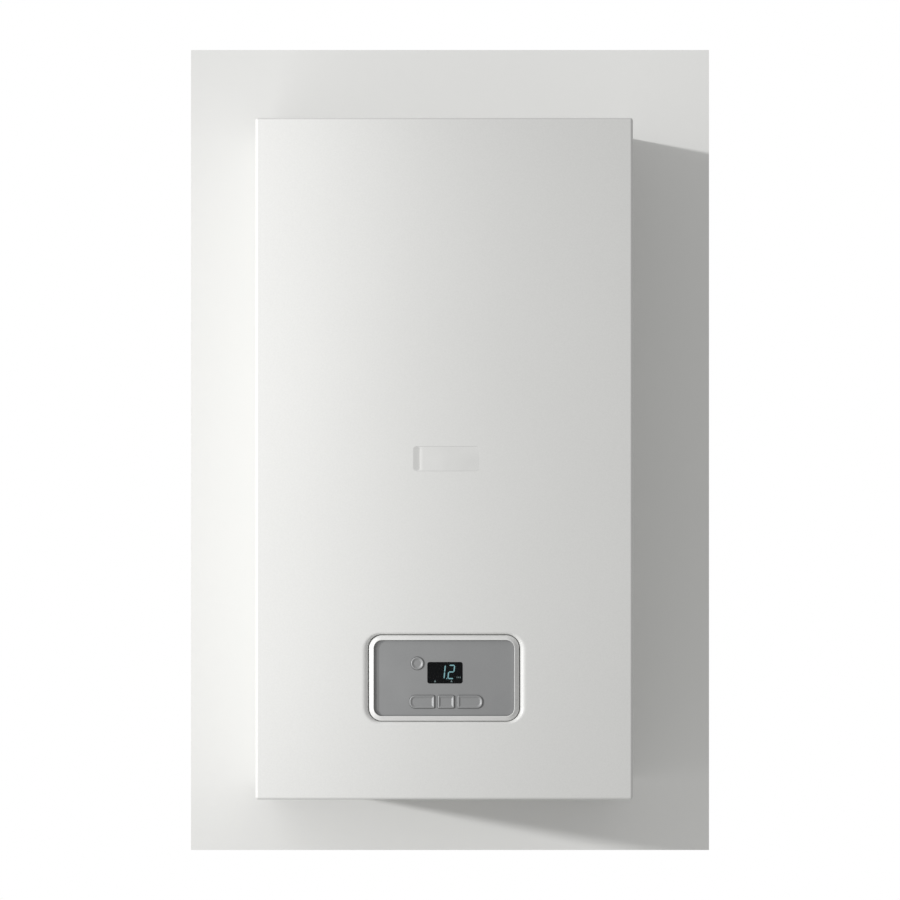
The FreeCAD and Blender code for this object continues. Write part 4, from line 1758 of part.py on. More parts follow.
def main():
    """Build every piece and write each to its own file."""
    right_side = side_panel()
    pieces = {
        "wall_rail": wall_rail(),
        "wall_spacers": wall_spacers(),
        "back_panel": back_panel(),
        "right_side_panel": right_side,
        "left_side_panel": right_side.mirror(V(0, 0, 0), X),
        "top_panel": top_panel(),
        "front_crossbar": front_crossbar(),
        "connection_plate": connection_plate(),
        "front_cover": front_cover(),
        "badge_plate": badge_plate(),
        "cover_gasket": cover_gasket(),
        "cover_screws": cover_screws(),
        "control_box_brackets": control_box_brackets(),
        "control_housing": control_housing(),
        "control_rear_cover": control_rear_cover(),
        "panel_bezel": panel_bezel(),
        "panel_fascia": panel_fascia(),
        "display_window": display_window(),
        "display_module": display_module(),
        "display_board": display_board(),
        "main_board": main_board(),
        "reset_button": panel_button(0),
        "minus_button": panel_button(1),
        "mode_button": panel_button(2),
        "plus_button": panel_button(3),
        "chamber_plates": chamber_plates(),
        "chamber_front_plate": chamber_front_plate(),
        "sight_glass": sight_glass(),
        "insulation_boards": insulation_boards(),
        "burner_frame": burner_frame(),
        "burner_blades": burner_blades(),
        "gas_manifold": gas_manifold(),
        "ignition_electrodes": ignition_electrodes(),
        "heat_exchanger": heat_exchanger(),
        "flue_hood": flue_hood(),
        "fan_scroll": fan_scroll(),
        "fan_motor": fan_motor(),
        "fan_impeller": fan_impeller(),
        "flue_spigot": flue_spigot(),
        "flue_flange": flue_flange(),
        "air_pressure_switch": air_pressure_switch(),
        "pressure_tubes": pressure_tubes(),
        "expansion_vessel": expansion_vessel(),
        "vessel_pipe": vessel_pipe(),
        "flow_block": flow_block(),
        "diverter_motor": diverter_motor(),
        "return_block": return_block(),
        "pump_volute": pump_volute(),
        "pump_motor": pump_motor(),
        "air_vent": air_vent(),
        "safety_valve": safety_valve(),
        "safety_valve_knob": safety_valve_knob(),
        "filling_tap": filling_tap(),
        "filling_tap_knob": filling_tap_knob(),
        "plate_heat_exchanger": plate_heat_exchanger(),
        "flow_pipe": flow_pipe(),
        "return_pipe": return_pipe(),
        "gas_pipes": gas_pipes(),
        "gas_valve": gas_valve(),
        "pipe_connections": pipe_connections(),
    }
    os.makedirs("parts", exist_ok=True)
    for name, shape in pieces.items():
        shape.translated(-Z * RAIL_SCREW_HEIGHT).exportStep("parts/" + name + ".step")


if __name__ == "__main__":
    main()
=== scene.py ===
import math

import bmesh
import bpy
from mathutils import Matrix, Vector


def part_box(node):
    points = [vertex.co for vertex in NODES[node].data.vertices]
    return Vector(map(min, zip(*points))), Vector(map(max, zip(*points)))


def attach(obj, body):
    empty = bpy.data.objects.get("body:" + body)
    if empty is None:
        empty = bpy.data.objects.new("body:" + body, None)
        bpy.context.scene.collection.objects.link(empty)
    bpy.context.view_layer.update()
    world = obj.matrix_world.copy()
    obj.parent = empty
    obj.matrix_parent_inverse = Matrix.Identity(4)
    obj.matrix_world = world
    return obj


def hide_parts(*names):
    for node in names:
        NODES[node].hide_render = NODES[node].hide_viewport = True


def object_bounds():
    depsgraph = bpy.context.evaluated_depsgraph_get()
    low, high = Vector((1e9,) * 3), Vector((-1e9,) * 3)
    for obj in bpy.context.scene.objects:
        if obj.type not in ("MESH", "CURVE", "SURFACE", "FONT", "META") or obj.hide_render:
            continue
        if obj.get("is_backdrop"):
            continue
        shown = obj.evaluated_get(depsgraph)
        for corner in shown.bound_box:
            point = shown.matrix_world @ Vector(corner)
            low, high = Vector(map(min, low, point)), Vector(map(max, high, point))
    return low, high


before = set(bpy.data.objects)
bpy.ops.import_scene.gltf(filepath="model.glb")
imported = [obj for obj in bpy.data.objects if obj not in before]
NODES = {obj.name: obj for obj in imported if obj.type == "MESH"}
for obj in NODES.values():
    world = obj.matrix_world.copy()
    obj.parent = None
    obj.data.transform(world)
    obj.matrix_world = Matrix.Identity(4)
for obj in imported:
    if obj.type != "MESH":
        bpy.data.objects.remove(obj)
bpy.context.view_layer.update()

# The looks of a wall-hung gas boiler, in metres, with +Z up, the front towards -Y and the wall at Y = 0.

MM = 0.001

# The photograph's frame, in pixels from its upper left corner: the four values for the front were fitted
# by trial until the front's edges in the render lay on those in the photograph
IMAGE_PIXELS = 900
FRONT_LEFT_PIXEL = 255.2
FRONT_RIGHT_PIXEL = 633.0
FRONT_TOP_PIXEL = 117.8
FRONT_BASE_PIXEL = 799.6
WALL_LEFT_PIXEL = 191.0
WALL_RIGHT_PIXEL = 709.0
WALL_TOP_PIXEL = 50.0
WALL_BASE_PIXEL = 850.0
CAMERA_DISTANCE = 5.1
SENSOR_WIDTH = 36.0

# Lamps and stage
SUN_TRAVEL = Vector((2.0, 1.0, -0.38))
SUN_LEVEL = 2.1
SUN_ANGLE = math.radians(2.5)
NEAR_PLACE = Vector((-0.33, -0.54, -0.30))
NEAR_SIZE = (0.08, 1.1)
NEAR_POWER = 1.2
NEAR_SPREAD = math.radians(150)
SKY_LEVEL = 0.485
WALL_COLOUR = (0.85, 0.85, 0.835)
FLOOR_DROP = 0.55
FLOOR_REACH = 3.0
STAGE_GAP = 0.4 * MM
WALL_OVERLAP = 1 * MM

# Finishes
WHITE = (0.65, 0.65, 0.637)
WEAR_RADIUS = 0.5 * MM
WEAR_TURNED_SHARE = 0.84
WEAR_FLAT_SHARE = 0.98
PATCH_TONE_SHARE = 0.94
GRAIN_TONE_SHARE = 0.72
GRAIN_SHARE = 0.14
COAT_ROUGHNESS = 0.12
ZINC_SPANGLE_SCALE = 130.0
ZINC_PATCH = 50 * MM
ZINC_GRAIN = 1.5 * MM
ZINC_RELIEF = 0.03 * MM
FIBRE_STRAND = 2.5 * MM
FIBRE_STRETCH = (1.0, 1.0, 4.0)
FIBRE_RELIEF = 0.5 * MM
LAMINATION_SCALE = 320.0
LAMINATION_PATCH = 4 * MM
LAMINATION_RELIEF = 0.2 * MM
BOARD_THICK = 1.6 * MM
BOARD_FRONT_GAPS = (0.2 * MM, 0.1 * MM)
BOARD_RUN_SCALE = 120.0
BOARD_RUN_SHIFT_SHARE = 0.37
BOARD_RUN_WIDTH_SHARE = 0.035
BOARD_PART_SCALE = 30.0
BOARD_PART_PATCH = 2 * MM
BOARD_PATCH = 3 * MM
BOARD_RELIEF = 0.05 * MM
BURNER_BLOTCH = 12 * MM
BURNER_BLOTCH_SHARE = 0.5
BURNER_PATCH = 2 * MM
BURNER_GRAIN = 1.2 * MM
BURNER_RELIEF = 0.04 * MM
CERAMIC_REACH = 22 * MM
CERAMIC_BLEND = 0.1 * MM
CERAMIC_PATCH = 4 * MM
CERAMIC_GRAIN = 1 * MM
CERAMIC_FINE_GRAIN = 0.8 * MM
CERAMIC_RELIEF = 0.03 * MM
FILM_PATCH = 10 * MM
FILM_RELIEF = 0.01 * MM
GLOW_PATCH = 3 * MM
STAGE_PATCH = 400 * MM

# A mix node's sockets for colours, by number, because its other kinds have sockets of the same names
MIX_SHARE_SOCKET = 0
MIX_FIRST_SOCKET = 6
MIX_SECOND_SOCKET = 7
MIX_RESULT_SOCKET = 2


# Node materials

class Look:
    """A material in the making: adds nodes, joins their sockets and feeds the main shader."""

    def __init__(self, name):
        self.material = bpy.data.materials.new(name)
        self.material.use_nodes = True
        self.tree = self.material.node_tree
        self.shader = self.tree.nodes["Principled BSDF"]
        self.place = self.node("ShaderNodeTexCoord").outputs["Object"]

    def node(self, kind, settings=(), **inputs):
        """Adds a node; settings are its properties, inputs its sockets by name."""
        node = self.tree.nodes.new(kind)
        for key, value in dict(settings).items():
            setattr(node, key, value)
        for key, value in inputs.items():
            self.feed(node.inputs[key.replace("_", " ")], value)
        return node

    def feed(self, socket, value):
        """Joins another node's socket, or sets a plain value."""
        if isinstance(value, bpy.types.NodeSocket):
            self.tree.links.new(value, socket)
        else:
            socket.default_value = value

    def set(self, **inputs):
        """Feeds the main shader's sockets by name."""
        for key, value in inputs.items():
            self.feed(self.shader.inputs[key.replace("_", " ")], value)

    def stretched(self, factors):
        """Coordinates stretched along the axes."""
        return self.node("ShaderNodeMapping", Vector=self.place, Scale=factors).outputs["Vector"]

    def noise(self, size, detail=3.0, factors=(1.0, 1.0, 1.0)):
        """Soft noise with blotches of about the given size."""
        node = self.node("ShaderNodeTexNoise", Vector=self.stretched(factors), Scale=1 / size, Detail=detail)
        return node.outputs["Fac"]

    def mapped(self, value, low, high, start=0.3, end=0.7):
        """A value moved from the range start to end, here that of soft noise, to the range low to high."""
        node = self.node("ShaderNodeMapRange", Value=value, From_Min=start, From_Max=end, To_Min=low,
                         To_Max=high)
        return node.outputs["Result"]

    def mix(self, share, first, second):
        """A blend of two colours by a share from 0 to 1."""
        node = self.node("ShaderNodeMix", {"data_type": "RGBA"})
        self.feed(node.inputs[MIX_SHARE_SOCKET], share)
        for number, colour in ((MIX_FIRST_SOCKET, first), (MIX_SECOND_SOCKET, second)):
            plain = not isinstance(colour, bpy.types.NodeSocket)
            self.feed(node.inputs[number], (*colour, 1.0) if plain else colour)
        return node.outputs[MIX_RESULT_SOCKET]

    def edges(self, radius):
        """The share of wear within a radius of an edge, found by how a bevel would turn the face there."""
        turned = self.node("ShaderNodeBevel", {"samples": 4}, Radius=radius).outputs["Normal"]
        flat = self.node("ShaderNodeNewGeometry").outputs["Normal"]
        match = self.node("ShaderNodeVectorMath", {"operation": "DOT_PRODUCT"})
        self.feed(match.inputs[0], turned)
        self.feed(match.inputs[1], flat)
        return self.mapped(match.outputs["Value"], 1.0, 0.0, WEAR_TURNED_SHARE, WEAR_FLAT_SHARE)

    def axis(self, name):
        """One coordinate in metres."""
        return self.node("ShaderNodeSeparateXYZ", Vector=self.place).outputs[name]

    def bump(self, height, depth, strength=0.5):
        """A fine relief from a height pattern, its depth in metres."""
        relief = self.node("ShaderNodeBump", Height=height, Distance=depth, Strength=strength)
        self.set(Normal=relief.outputs["Normal"])


def tone(colour, factor):
    """A lighter or darker colour."""
    return tuple(min(1.0, part * factor) for part in colour)


def surface(name, colour, patch, grain, roughness, relief, other=None, metallic=0.0,
            stretch=(1.0, 1.0, 1.0), worn=None, coat=0.0, shine=0.5):
    """A finish of two tones in patches, with a fine grain in gloss and height, and worn edges."""
    look = Look(name)
    patches = look.mapped(look.noise(patch), 0.0, 1.0)
    mixed = look.mix(patches, colour, other or tone(colour, PATCH_TONE_SHARE))
    grains = look.noise(grain, 2.0, stretch)
    speckled = look.mix(look.mapped(grains, 0.0, GRAIN_SHARE), mixed, tone(colour, GRAIN_TONE_SHARE))
    if worn:
        speckled = look.mix(look.edges(WEAR_RADIUS), speckled, worn)
    look.set(Base_Color=speckled, Roughness=look.mapped(grains, *roughness), Metallic=metallic,
             Specular_IOR_Level=shine)
    if coat:
        look.set(Coat_Weight=coat, Coat_Roughness=COAT_ROUGHNESS)
    look.bump(grains, relief)
    return look.material


def galvanised(name, colour):
    """Zinc-coated sheet with its spangle of crystals."""
    look = Look(name)
    cells = look.node("ShaderNodeTexVoronoi", Vector=look.place, Scale=ZINC_SPANGLE_SCALE)
    tint = look.node("ShaderNodeSeparateColor", Color=cells.outputs["Color"]).outputs["Red"]
    spangle = look.mix(tint, tone(colour, 0.86), tone(colour, 1.1))
    dull = look.mix(look.mapped(look.noise(ZINC_PATCH), low=0.0, high=0.35), spangle, tone(colour, 0.7))
    look.set(Base_Color=dull, Metallic=0.85,
             Roughness=look.mapped(tint, low=0.34, high=0.5, start=0.0, end=1.0))
    look.bump(look.noise(ZINC_GRAIN, detail=2.0), ZINC_RELIEF)
    return look.material


def fibre(name, colour):
    """Pressed ceramic fibre with a felted, powdery face."""
    look = Look(name)
    strands = look.noise(FIBRE_STRAND, detail=6.0, factors=FIBRE_STRETCH)
    felt = look.mix(look.mapped(strands, low=0.0, high=1.0), tone(colour, 0.8), colour)
    look.set(Base_Color=felt, Roughness=look.mapped(strands, low=0.86, high=0.98), Sheen_Weight=0.2)
    look.bump(strands, FIBRE_RELIEF, strength=0.8)
    return look.material


def laminated(name, colour):
    """A stack of stamped sheets, ruled across its depth."""
    look = Look(name)
    ruled = look.node("ShaderNodeTexWave", {"bands_direction": "Y"}, Vector=look.place,
                      Scale=LAMINATION_SCALE, Distortion=0.0)
    rules = ruled.outputs["Fac"]
    blend = look.mix(rules, tone(colour, 0.6), colour)
    look.set(Base_Color=blend, Metallic=0.75,
             Roughness=look.mapped(look.noise(LAMINATION_PATCH), low=0.38, high=0.56))
    look.bump(rules, LAMINATION_RELIEF, strength=0.6)
    return look.material


def circuit_board(name, front):
    """Green board with copper runs; what stands in front of the board is dark moulded plastic."""
    look = Look(name)
    upright = look.node("ShaderNodeMapping", Vector=look.place, Rotation=(math.pi / 2, 0.0, 0.0))
    runs = look.node("ShaderNodeTexBrick", {"offset": BOARD_RUN_SHIFT_SHARE},
                     Vector=upright.outputs["Vector"], Scale=BOARD_RUN_SCALE,
                     Mortar_Size=BOARD_RUN_WIDTH_SHARE)
    shades = {"Color1": (0.01, 0.12, 0.05), "Color2": (0.012, 0.16, 0.06), "Mortar": (0.05, 0.30, 0.11)}
    for key, shade in shades.items():
        runs.inputs[key].default_value = (*shade, 1.0)
    cells = look.node("ShaderNodeTexVoronoi", Vector=look.place, Scale=BOARD_PART_SCALE)
    specks = look.mapped(look.noise(BOARD_PART_PATCH), low=0.0, high=0.4)
    moulded = look.mix(specks, (0.03, 0.03, 0.035), (0.16, 0.16, 0.17))
    tint = look.node("ShaderNodeSeparateColor", Color=cells.outputs["Color"]).outputs["Green"]
    pale = look.mapped(tint, low=0.0, high=1.0, start=0.62, end=0.66)
    parts = look.mix(pale, moulded, (0.62, 0.61, 0.57))
    start, end = (front - gap for gap in BOARD_FRONT_GAPS)
    standing = look.mapped(look.axis("Y"), low=1.0, high=0.0, start=start, end=end)
    look.set(Base_Color=look.mix(standing, runs.outputs["Color"], parts),
             Roughness=look.mapped(look.noise(BOARD_PATCH), low=0.3, high=0.5))
    look.bump(runs.outputs["Fac"], BOARD_RELIEF)
    return look.material


def heat_tinted(name, base, top):
    """Burner steel that turns from bright to straw and blue towards the flames."""
    look = Look(name)
    height = look.mapped(look.axis("Z"), low=0.0, high=1.0, start=base, end=top)
    blotches = look.node("ShaderNodeMath", {"operation": "MULTIPLY_ADD"})
    for socket, value in zip(blotches.inputs, (look.noise(BURNER_BLOTCH), BURNER_BLOTCH_SHARE, height)):
        look.feed(socket, value)
    heat = blotches.outputs[0]
    warm = look.mapped(heat, low=0.0, high=1.0, start=0.7, end=1.0)
    straw = look.mix(warm, (0.52, 0.5, 0.47), (0.42, 0.30, 0.14))
    hot = look.mapped(heat, low=0.0, high=1.0, start=1.05, end=1.35)
    blue = look.mix(hot, straw, (0.10, 0.10, 0.17))
    look.set(Base_Color=blue, Metallic=0.9,
             Roughness=look.mapped(look.noise(BURNER_PATCH), low=0.35, high=0.55))
    look.bump(look.noise(BURNER_GRAIN), BURNER_RELIEF)
    return look.material


def electrode(name, end):
    """White glazed ceramic up to its end, and bare wire beyond it."""
    look = Look(name)
    wire = look.mapped(look.axis("Y"), low=0.0, high=1.0, start=end, end=end + CERAMIC_BLEND)
    patches = look.mapped(look.noise(CERAMIC_PATCH), low=0.0, high=1.0)
    glaze = look.mix(patches, (0.78, 0.75, 0.68), (0.84, 0.82, 0.77))
    look.set(Base_Color=look.mix(wire, glaze, (0.36, 0.33, 0.30)), Metallic=wire,
             Roughness=look.mapped(look.noise(CERAMIC_GRAIN), low=0.18, high=0.34))
    look.bump(look.noise(CERAMIC_FINE_GRAIN), CERAMIC_RELIEF)
    return look.material


def clear(name, colour, roughness, grime, bending):
    """A see-through pane with a faint film on it."""
    look = Look(name)
    film = look.noise(FILM_PATCH)
    look.set(Base_Color=(*colour, 1.0), Transmission_Weight=1.0, IOR=bending,
             Roughness=look.mapped(film, low=roughness, high=roughness + grime))
    look.bump(film, FILM_RELIEF, strength=0.1)
    return look.material


def smoked(name, colour, passing):
    """A thin dark pane that lets a share of the light pass, with a faint film on it."""
    look = Look(name)
    film = look.noise(FILM_PATCH)
    filmed = look.mix(look.mapped(film, low=0.0, high=0.5), colour, tone(colour, 1.6))
    look.set(Base_Color=filmed, Alpha=1 - passing, Specular_IOR_Level=0.2,
             Roughness=look.mapped(film, low=0.06, high=0.12))
    look.bump(film, FILM_RELIEF, strength=0.1)
    return look.material


def glowing(name, colour, level):
    """Lit display segments, a little brighter in the middle of each blotch."""
    look = Look(name)
    blotches = look.mapped(look.noise(GLOW_PATCH), low=0.0, high=1.0)
    glow = look.mix(blotches, tone(colour, 0.8), colour)
    look.set(Base_Color=(0.02, 0.03, 0.03, 1.0), Emission_Color=glow, Emission_Strength=level, Roughness=0.4)
    return look.material


def one_sided(name, colour):
    """A plain pale stage surface that shows its face and lets one look through its back."""
    look = Look(name)
    patches = look.mapped(look.noise(STAGE_PATCH), low=0.0, high=1.0)
    shade = look.mix(patches, colour, tone(colour, 0.985))
    look.set(Base_Color=shade, Roughness=0.85, Specular_IOR_Level=0.2)
    gate = look.node("ShaderNodeMixShader", Fac=look.node("ShaderNodeNewGeometry").outputs["Backfacing"])
    look.feed(gate.inputs[1], look.shader.outputs[0])
    look.feed(gate.inputs[2], look.node("ShaderNodeBsdfTransparent").outputs[0])
    look.feed(look.tree.nodes["Material Output"].inputs["Surface"], gate.outputs[0])
    return look.material


# Plain finishes: colours, size of patches and grain in metres, range of roughness, depth of grain
SURFACES = {
    "white_enamel": dict(
        colour=WHITE, other=tone(WHITE, 0.985), patch=0.2, grain=0.0016, roughness=(0.30, 0.38),
        relief=0.00002, coat=0.15),
    "white_plastic": dict(
        colour=(0.68, 0.68, 0.67), patch=0.05, grain=0.0007, roughness=(0.28, 0.36), relief=0.00002),
    "badge_plastic": dict(
        colour=WHITE, patch=0.03, grain=0.0006, roughness=(0.22, 0.3), relief=0.00002,
        coat=0.4),
    "silver_plastic": dict(
        colour=(0.295, 0.298, 0.30), other=(0.28, 0.283, 0.285), patch=0.03, grain=0.0005,
        roughness=(0.48, 0.58), relief=0.00002, metallic=0.4, stretch=(0.3, 1.0, 1.0)),
    "dark_display": dict(
        colour=(0.006, 0.010, 0.011), other=(0.004, 0.006, 0.007), patch=0.01, grain=0.0006,
        roughness=(0.3, 0.42), relief=0.00001, shine=0.1),
    "grey_plastic": dict(
        colour=(0.19, 0.198, 0.205), patch=0.04, grain=0.0009, roughness=(0.45, 0.6), relief=0.00005),
    "dark_plastic": dict(
        colour=(0.03, 0.031, 0.034), other=(0.045, 0.046, 0.05), patch=0.03, grain=0.0008,
        roughness=(0.42, 0.58), relief=0.00006, worn=(0.10, 0.10, 0.11)),
    "red_plastic": dict(
        colour=(0.46, 0.02, 0.018), patch=0.02, grain=0.0008, roughness=(0.35, 0.5), relief=0.00004),
    "blue_plastic": dict(
        colour=(0.02, 0.09, 0.30), patch=0.02, grain=0.0008, roughness=(0.35, 0.5), relief=0.00004),
    "ivory_plastic": dict(
        colour=(0.66, 0.64, 0.58), patch=0.02, grain=0.0008, roughness=(0.35, 0.5), relief=0.00004),
    "black_rubber": dict(
        colour=(0.022, 0.022, 0.022), other=(0.035, 0.034, 0.033), patch=0.02, grain=0.0011,
        roughness=(0.7, 0.85), relief=0.00012),
    "silicone": dict(
        colour=(0.52, 0.07, 0.055), other=(0.45, 0.06, 0.05), patch=0.02, grain=0.001,
        roughness=(0.4, 0.55), relief=0.00003),
    "aluminium": dict(
        colour=(0.62, 0.625, 0.63), other=(0.55, 0.555, 0.56), patch=0.03, grain=0.0007,
        roughness=(0.28, 0.42), relief=0.00003, metallic=0.95, stretch=(0.15, 1.0, 1.0),
        worn=(0.74, 0.74, 0.75)),
    "cast_aluminium": dict(
        colour=(0.50, 0.505, 0.51), other=(0.43, 0.435, 0.44), patch=0.02, grain=0.0014,
        roughness=(0.45, 0.62), relief=0.00016, metallic=0.85, worn=(0.66, 0.66, 0.67)),
    "stainless": dict(
        colour=(0.55, 0.545, 0.53), other=(0.49, 0.48, 0.46), patch=0.03, grain=0.0006,
        roughness=(0.22, 0.36), relief=0.00003, metallic=1.0, stretch=(0.2, 1.0, 1.0),
        worn=(0.70, 0.69, 0.67)),
    "zinc_steel": dict(
        colour=(0.56, 0.56, 0.54), other=(0.5, 0.49, 0.44), patch=0.006, grain=0.0005,
        roughness=(0.28, 0.42), relief=0.00003, metallic=0.95, worn=(0.72, 0.72, 0.7)),
    "copper": dict(
        colour=(0.60, 0.27, 0.155), other=(0.46, 0.19, 0.115), patch=0.035, grain=0.0008,
        roughness=(0.24, 0.42), relief=0.00003, metallic=1.0, worn=(0.74, 0.38, 0.24)),
    "brass": dict(
        colour=(0.58, 0.42, 0.17), other=(0.49, 0.35, 0.145), patch=0.02, grain=0.0009,
        roughness=(0.26, 0.42), relief=0.00005, metallic=1.0, worn=(0.72, 0.55, 0.27)),
    "vessel_paint": dict(
        colour=(0.42, 0.035, 0.03), other=(0.37, 0.03, 0.026), patch=0.07, grain=0.0016,
        roughness=(0.34, 0.48), relief=0.00005, worn=(0.5, 0.1, 0.08)),
    "black_paint": dict(
        colour=(0.026, 0.027, 0.029), other=(0.04, 0.04, 0.042), patch=0.03, grain=0.0018,
        roughness=(0.4, 0.56), relief=0.00018, worn=(0.12, 0.12, 0.12)),
    "grey_paint": dict(
        colour=(0.20, 0.205, 0.21), other=(0.17, 0.175, 0.18), patch=0.03, grain=0.0016,
        roughness=(0.36, 0.5), relief=0.0001, worn=(0.34, 0.34, 0.35)),
}


def make_materials():
    """Every finish on the boiler, by name."""
    burner_low, burner_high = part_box("burner_blades")
    board_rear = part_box("main_board")[1].y
    switch_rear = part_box("display_board")[1].y
    plate_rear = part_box("chamber_front_plate")[1].y
    finishes = {name: surface(name, **values) for name, values in SURFACES.items()}
    finishes.update({
        "galvanised": galvanised("galvanised", (0.56, 0.57, 0.58)),
        "laminations": laminated("laminations", (0.42, 0.42, 0.43)),
        "ceramic_fibre": fibre("ceramic_fibre", (0.74, 0.71, 0.64)),
        "main_board": circuit_board("main_board", board_rear - BOARD_THICK),
        "display_board": circuit_board("display_board", switch_rear - BOARD_THICK),
        "burner_steel": heat_tinted("burner_steel", burner_low.z, burner_high.z),
        "electrode": electrode("electrode", plate_rear + CERAMIC_REACH),
        "window_pane": smoked("window_pane", (0.004, 0.0045, 0.005), passing=0.55),
        "sight_pane": clear("sight_pane", (0.80, 0.86, 0.82), roughness=0.02, grime=0.06, bending=1.47),
        "lit_segment": glowing("lit_segment", (0.44, 0.86, 0.92), level=1.6),
        "dim_segment": glowing("dim_segment", (0.42, 0.56, 0.57), level=1.2),
    })
    return finishes


NODE_FINISHES = {
    "white_enamel": ("front_cover", "left_side_panel", "right_side_panel", "top_panel"),
    "galvanised": ("back_panel", "wall_rail", "front_crossbar", "connection_plate", "control_box_brackets",
                   "chamber_plates", "chamber_front_plate", "flue_hood", "fan_scroll", "fan_impeller",
                   "burner_frame"),
    "white_plastic": ("panel_bezel",),
    "badge_plastic": ("badge_plate",),
    "silver_plastic": ("panel_fascia", "reset_button", "minus_button", "mode_button", "plus_button"),
    "dark_display": ("display_module",),
    "window_pane": ("display_window",),
    "sight_pane": ("sight_glass",),
    "grey_plastic": ("control_housing", "control_rear_cover", "wall_spacers"),
    "dark_plastic": ("diverter_motor", "air_vent"),
    "red_plastic": ("safety_valve_knob",),
    "blue_plastic": ("filling_tap_knob",),
    "ivory_plastic": ("air_pressure_switch",),
    "black_rubber": ("cover_gasket",),
    "silicone": ("pressure_tubes",),
    "aluminium": ("flue_spigot", "flue_flange", "gas_manifold"),
    "cast_aluminium": ("gas_valve",),
    "stainless": ("plate_heat_exchanger",),
    "zinc_steel": ("cover_screws",),
    "copper": ("heat_exchanger", "flow_pipe", "return_pipe", "gas_pipes", "vessel_pipe"),
    "brass": ("flow_block", "return_block", "safety_valve", "filling_tap", "pipe_connections"),
    "vessel_paint": ("expansion_vessel",),
    "black_paint": ("pump_volute",),
    "grey_paint": ("pump_motor",),
    "laminations": ("fan_motor",),
    "ceramic_fibre": ("insulation_boards",),
    "main_board": ("main_board",),
    "display_board": ("display_board",),
    "burner_steel": ("burner_blades",),
    "electrode": ("ignition_electrodes",),
}


def dress_nodes(finishes):
    """Gives every CAD piece its finish."""
    for finish, names in NODE_FINISHES.items():
        for name in names:
            for slot in NODES[name].material_slots:
                slot.material = finishes[finish]


# Shared helpers

def placed(name, data):
    """A new object, set in the scene."""
    thing = bpy.data.objects.new(name, data)
    bpy.context.collection.objects.link(thing)
    return thing


def corners(left, right, base, top):
    """The four corners of a rectangle, anticlockwise from its lower left."""
    return [(left, base), (right, base), (right, top), (left, top)]


def join_rings(bm, first, second):
    """Adds a band of faces between two rings of points."""
    for n in range(len(first)):
        m = (n + 1) % len(first)
        bm.faces.new((first[n], first[m], second[m], second[n]))


# Camera, lamps and stage

def pixel_size():
    """Metres for each pixel in the plane of the boiler's front."""
    low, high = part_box("front_cover")
    across = (high.x - low.x) / (FRONT_RIGHT_PIXEL - FRONT_LEFT_PIXEL)
    upward = (high.z - low.z) / (FRONT_BASE_PIXEL - FRONT_TOP_PIXEL)
    return (across + upward) / 2


def make_camera():
    """A distant camera straight in front, set so that the front lies where the photograph has it."""
    low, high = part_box("front_cover")
    aside = IMAGE_PIXELS / 2 - (FRONT_LEFT_PIXEL + FRONT_RIGHT_PIXEL) / 2
    below = (FRONT_TOP_PIXEL + FRONT_BASE_PIXEL) / 2 - IMAGE_PIXELS / 2
    data = bpy.data.cameras.new("camera")
    data.sensor_width = SENSOR_WIDTH
    data.lens = SENSOR_WIDTH * CAMERA_DISTANCE / (IMAGE_PIXELS * pixel_size())
    camera = placed("camera", data)
    camera.location = ((low.x + high.x) / 2 + aside * pixel_size(), low.y - CAMERA_DISTANCE,
                       (low.z + high.z) / 2 + below * pixel_size())
    camera.rotation_euler = (math.pi / 2, 0.0, 0.0)
    bpy.context.scene.camera = camera
    return camera


def make_sun():
    """Low light from far away on the left, which draws the boiler's shadow on the wall."""
    data = bpy.data.lights.new("sun", "SUN")
    data.energy = SUN_LEVEL
    data.angle = SUN_ANGLE
    sun = placed("sun", data)
    sun.rotation_euler = SUN_TRAVEL.to_track_quat("-Z", "Y").to_euler()


def make_near_lamp(target):
    """A soft upright lamp close by on the left, which makes the front fade towards the right."""
    data = bpy.data.lights.new("near_lamp", "AREA")
    data.shape = "RECTANGLE"
    data.size, data.size_y = NEAR_SIZE
    data.energy = NEAR_POWER
    data.spread = NEAR_SPREAD
    lamp = placed("near_lamp", data)
    lamp.location = NEAR_PLACE
    lamp.visible_camera = False
    lamp.rotation_euler = (target - NEAR_PLACE).to_track_quat("-Z", "Y").to_euler()


def make_sky():
    """Soft grey light from all round, seen as plain white."""
    world = bpy.data.worlds.new("sky")
    bpy.context.scene.world = world
    world.use_nodes = True
    nodes = world.node_tree.nodes
    links = world.node_tree.links
    rays = nodes.new("ShaderNodeLightPath")
    seen = nodes.new("ShaderNodeMath")
    seen.operation = "MAXIMUM"
    links.new(rays.outputs["Is Camera Ray"], seen.inputs[0])
    links.new(rays.outputs["Is Transmission Ray"], seen.inputs[1])
    level = nodes.new("ShaderNodeMapRange")
    level.inputs["To Min"].default_value = SKY_LEVEL
    level.inputs["To Max"].default_value = 1.0
    links.new(seen.outputs[0], level.inputs["Value"])
    nodes["Background"].inputs["Color"].default_value = (1.0, 1.0, 1.0, 1.0)
    links.new(level.outputs["Result"], nodes["Background"].inputs["Strength"])


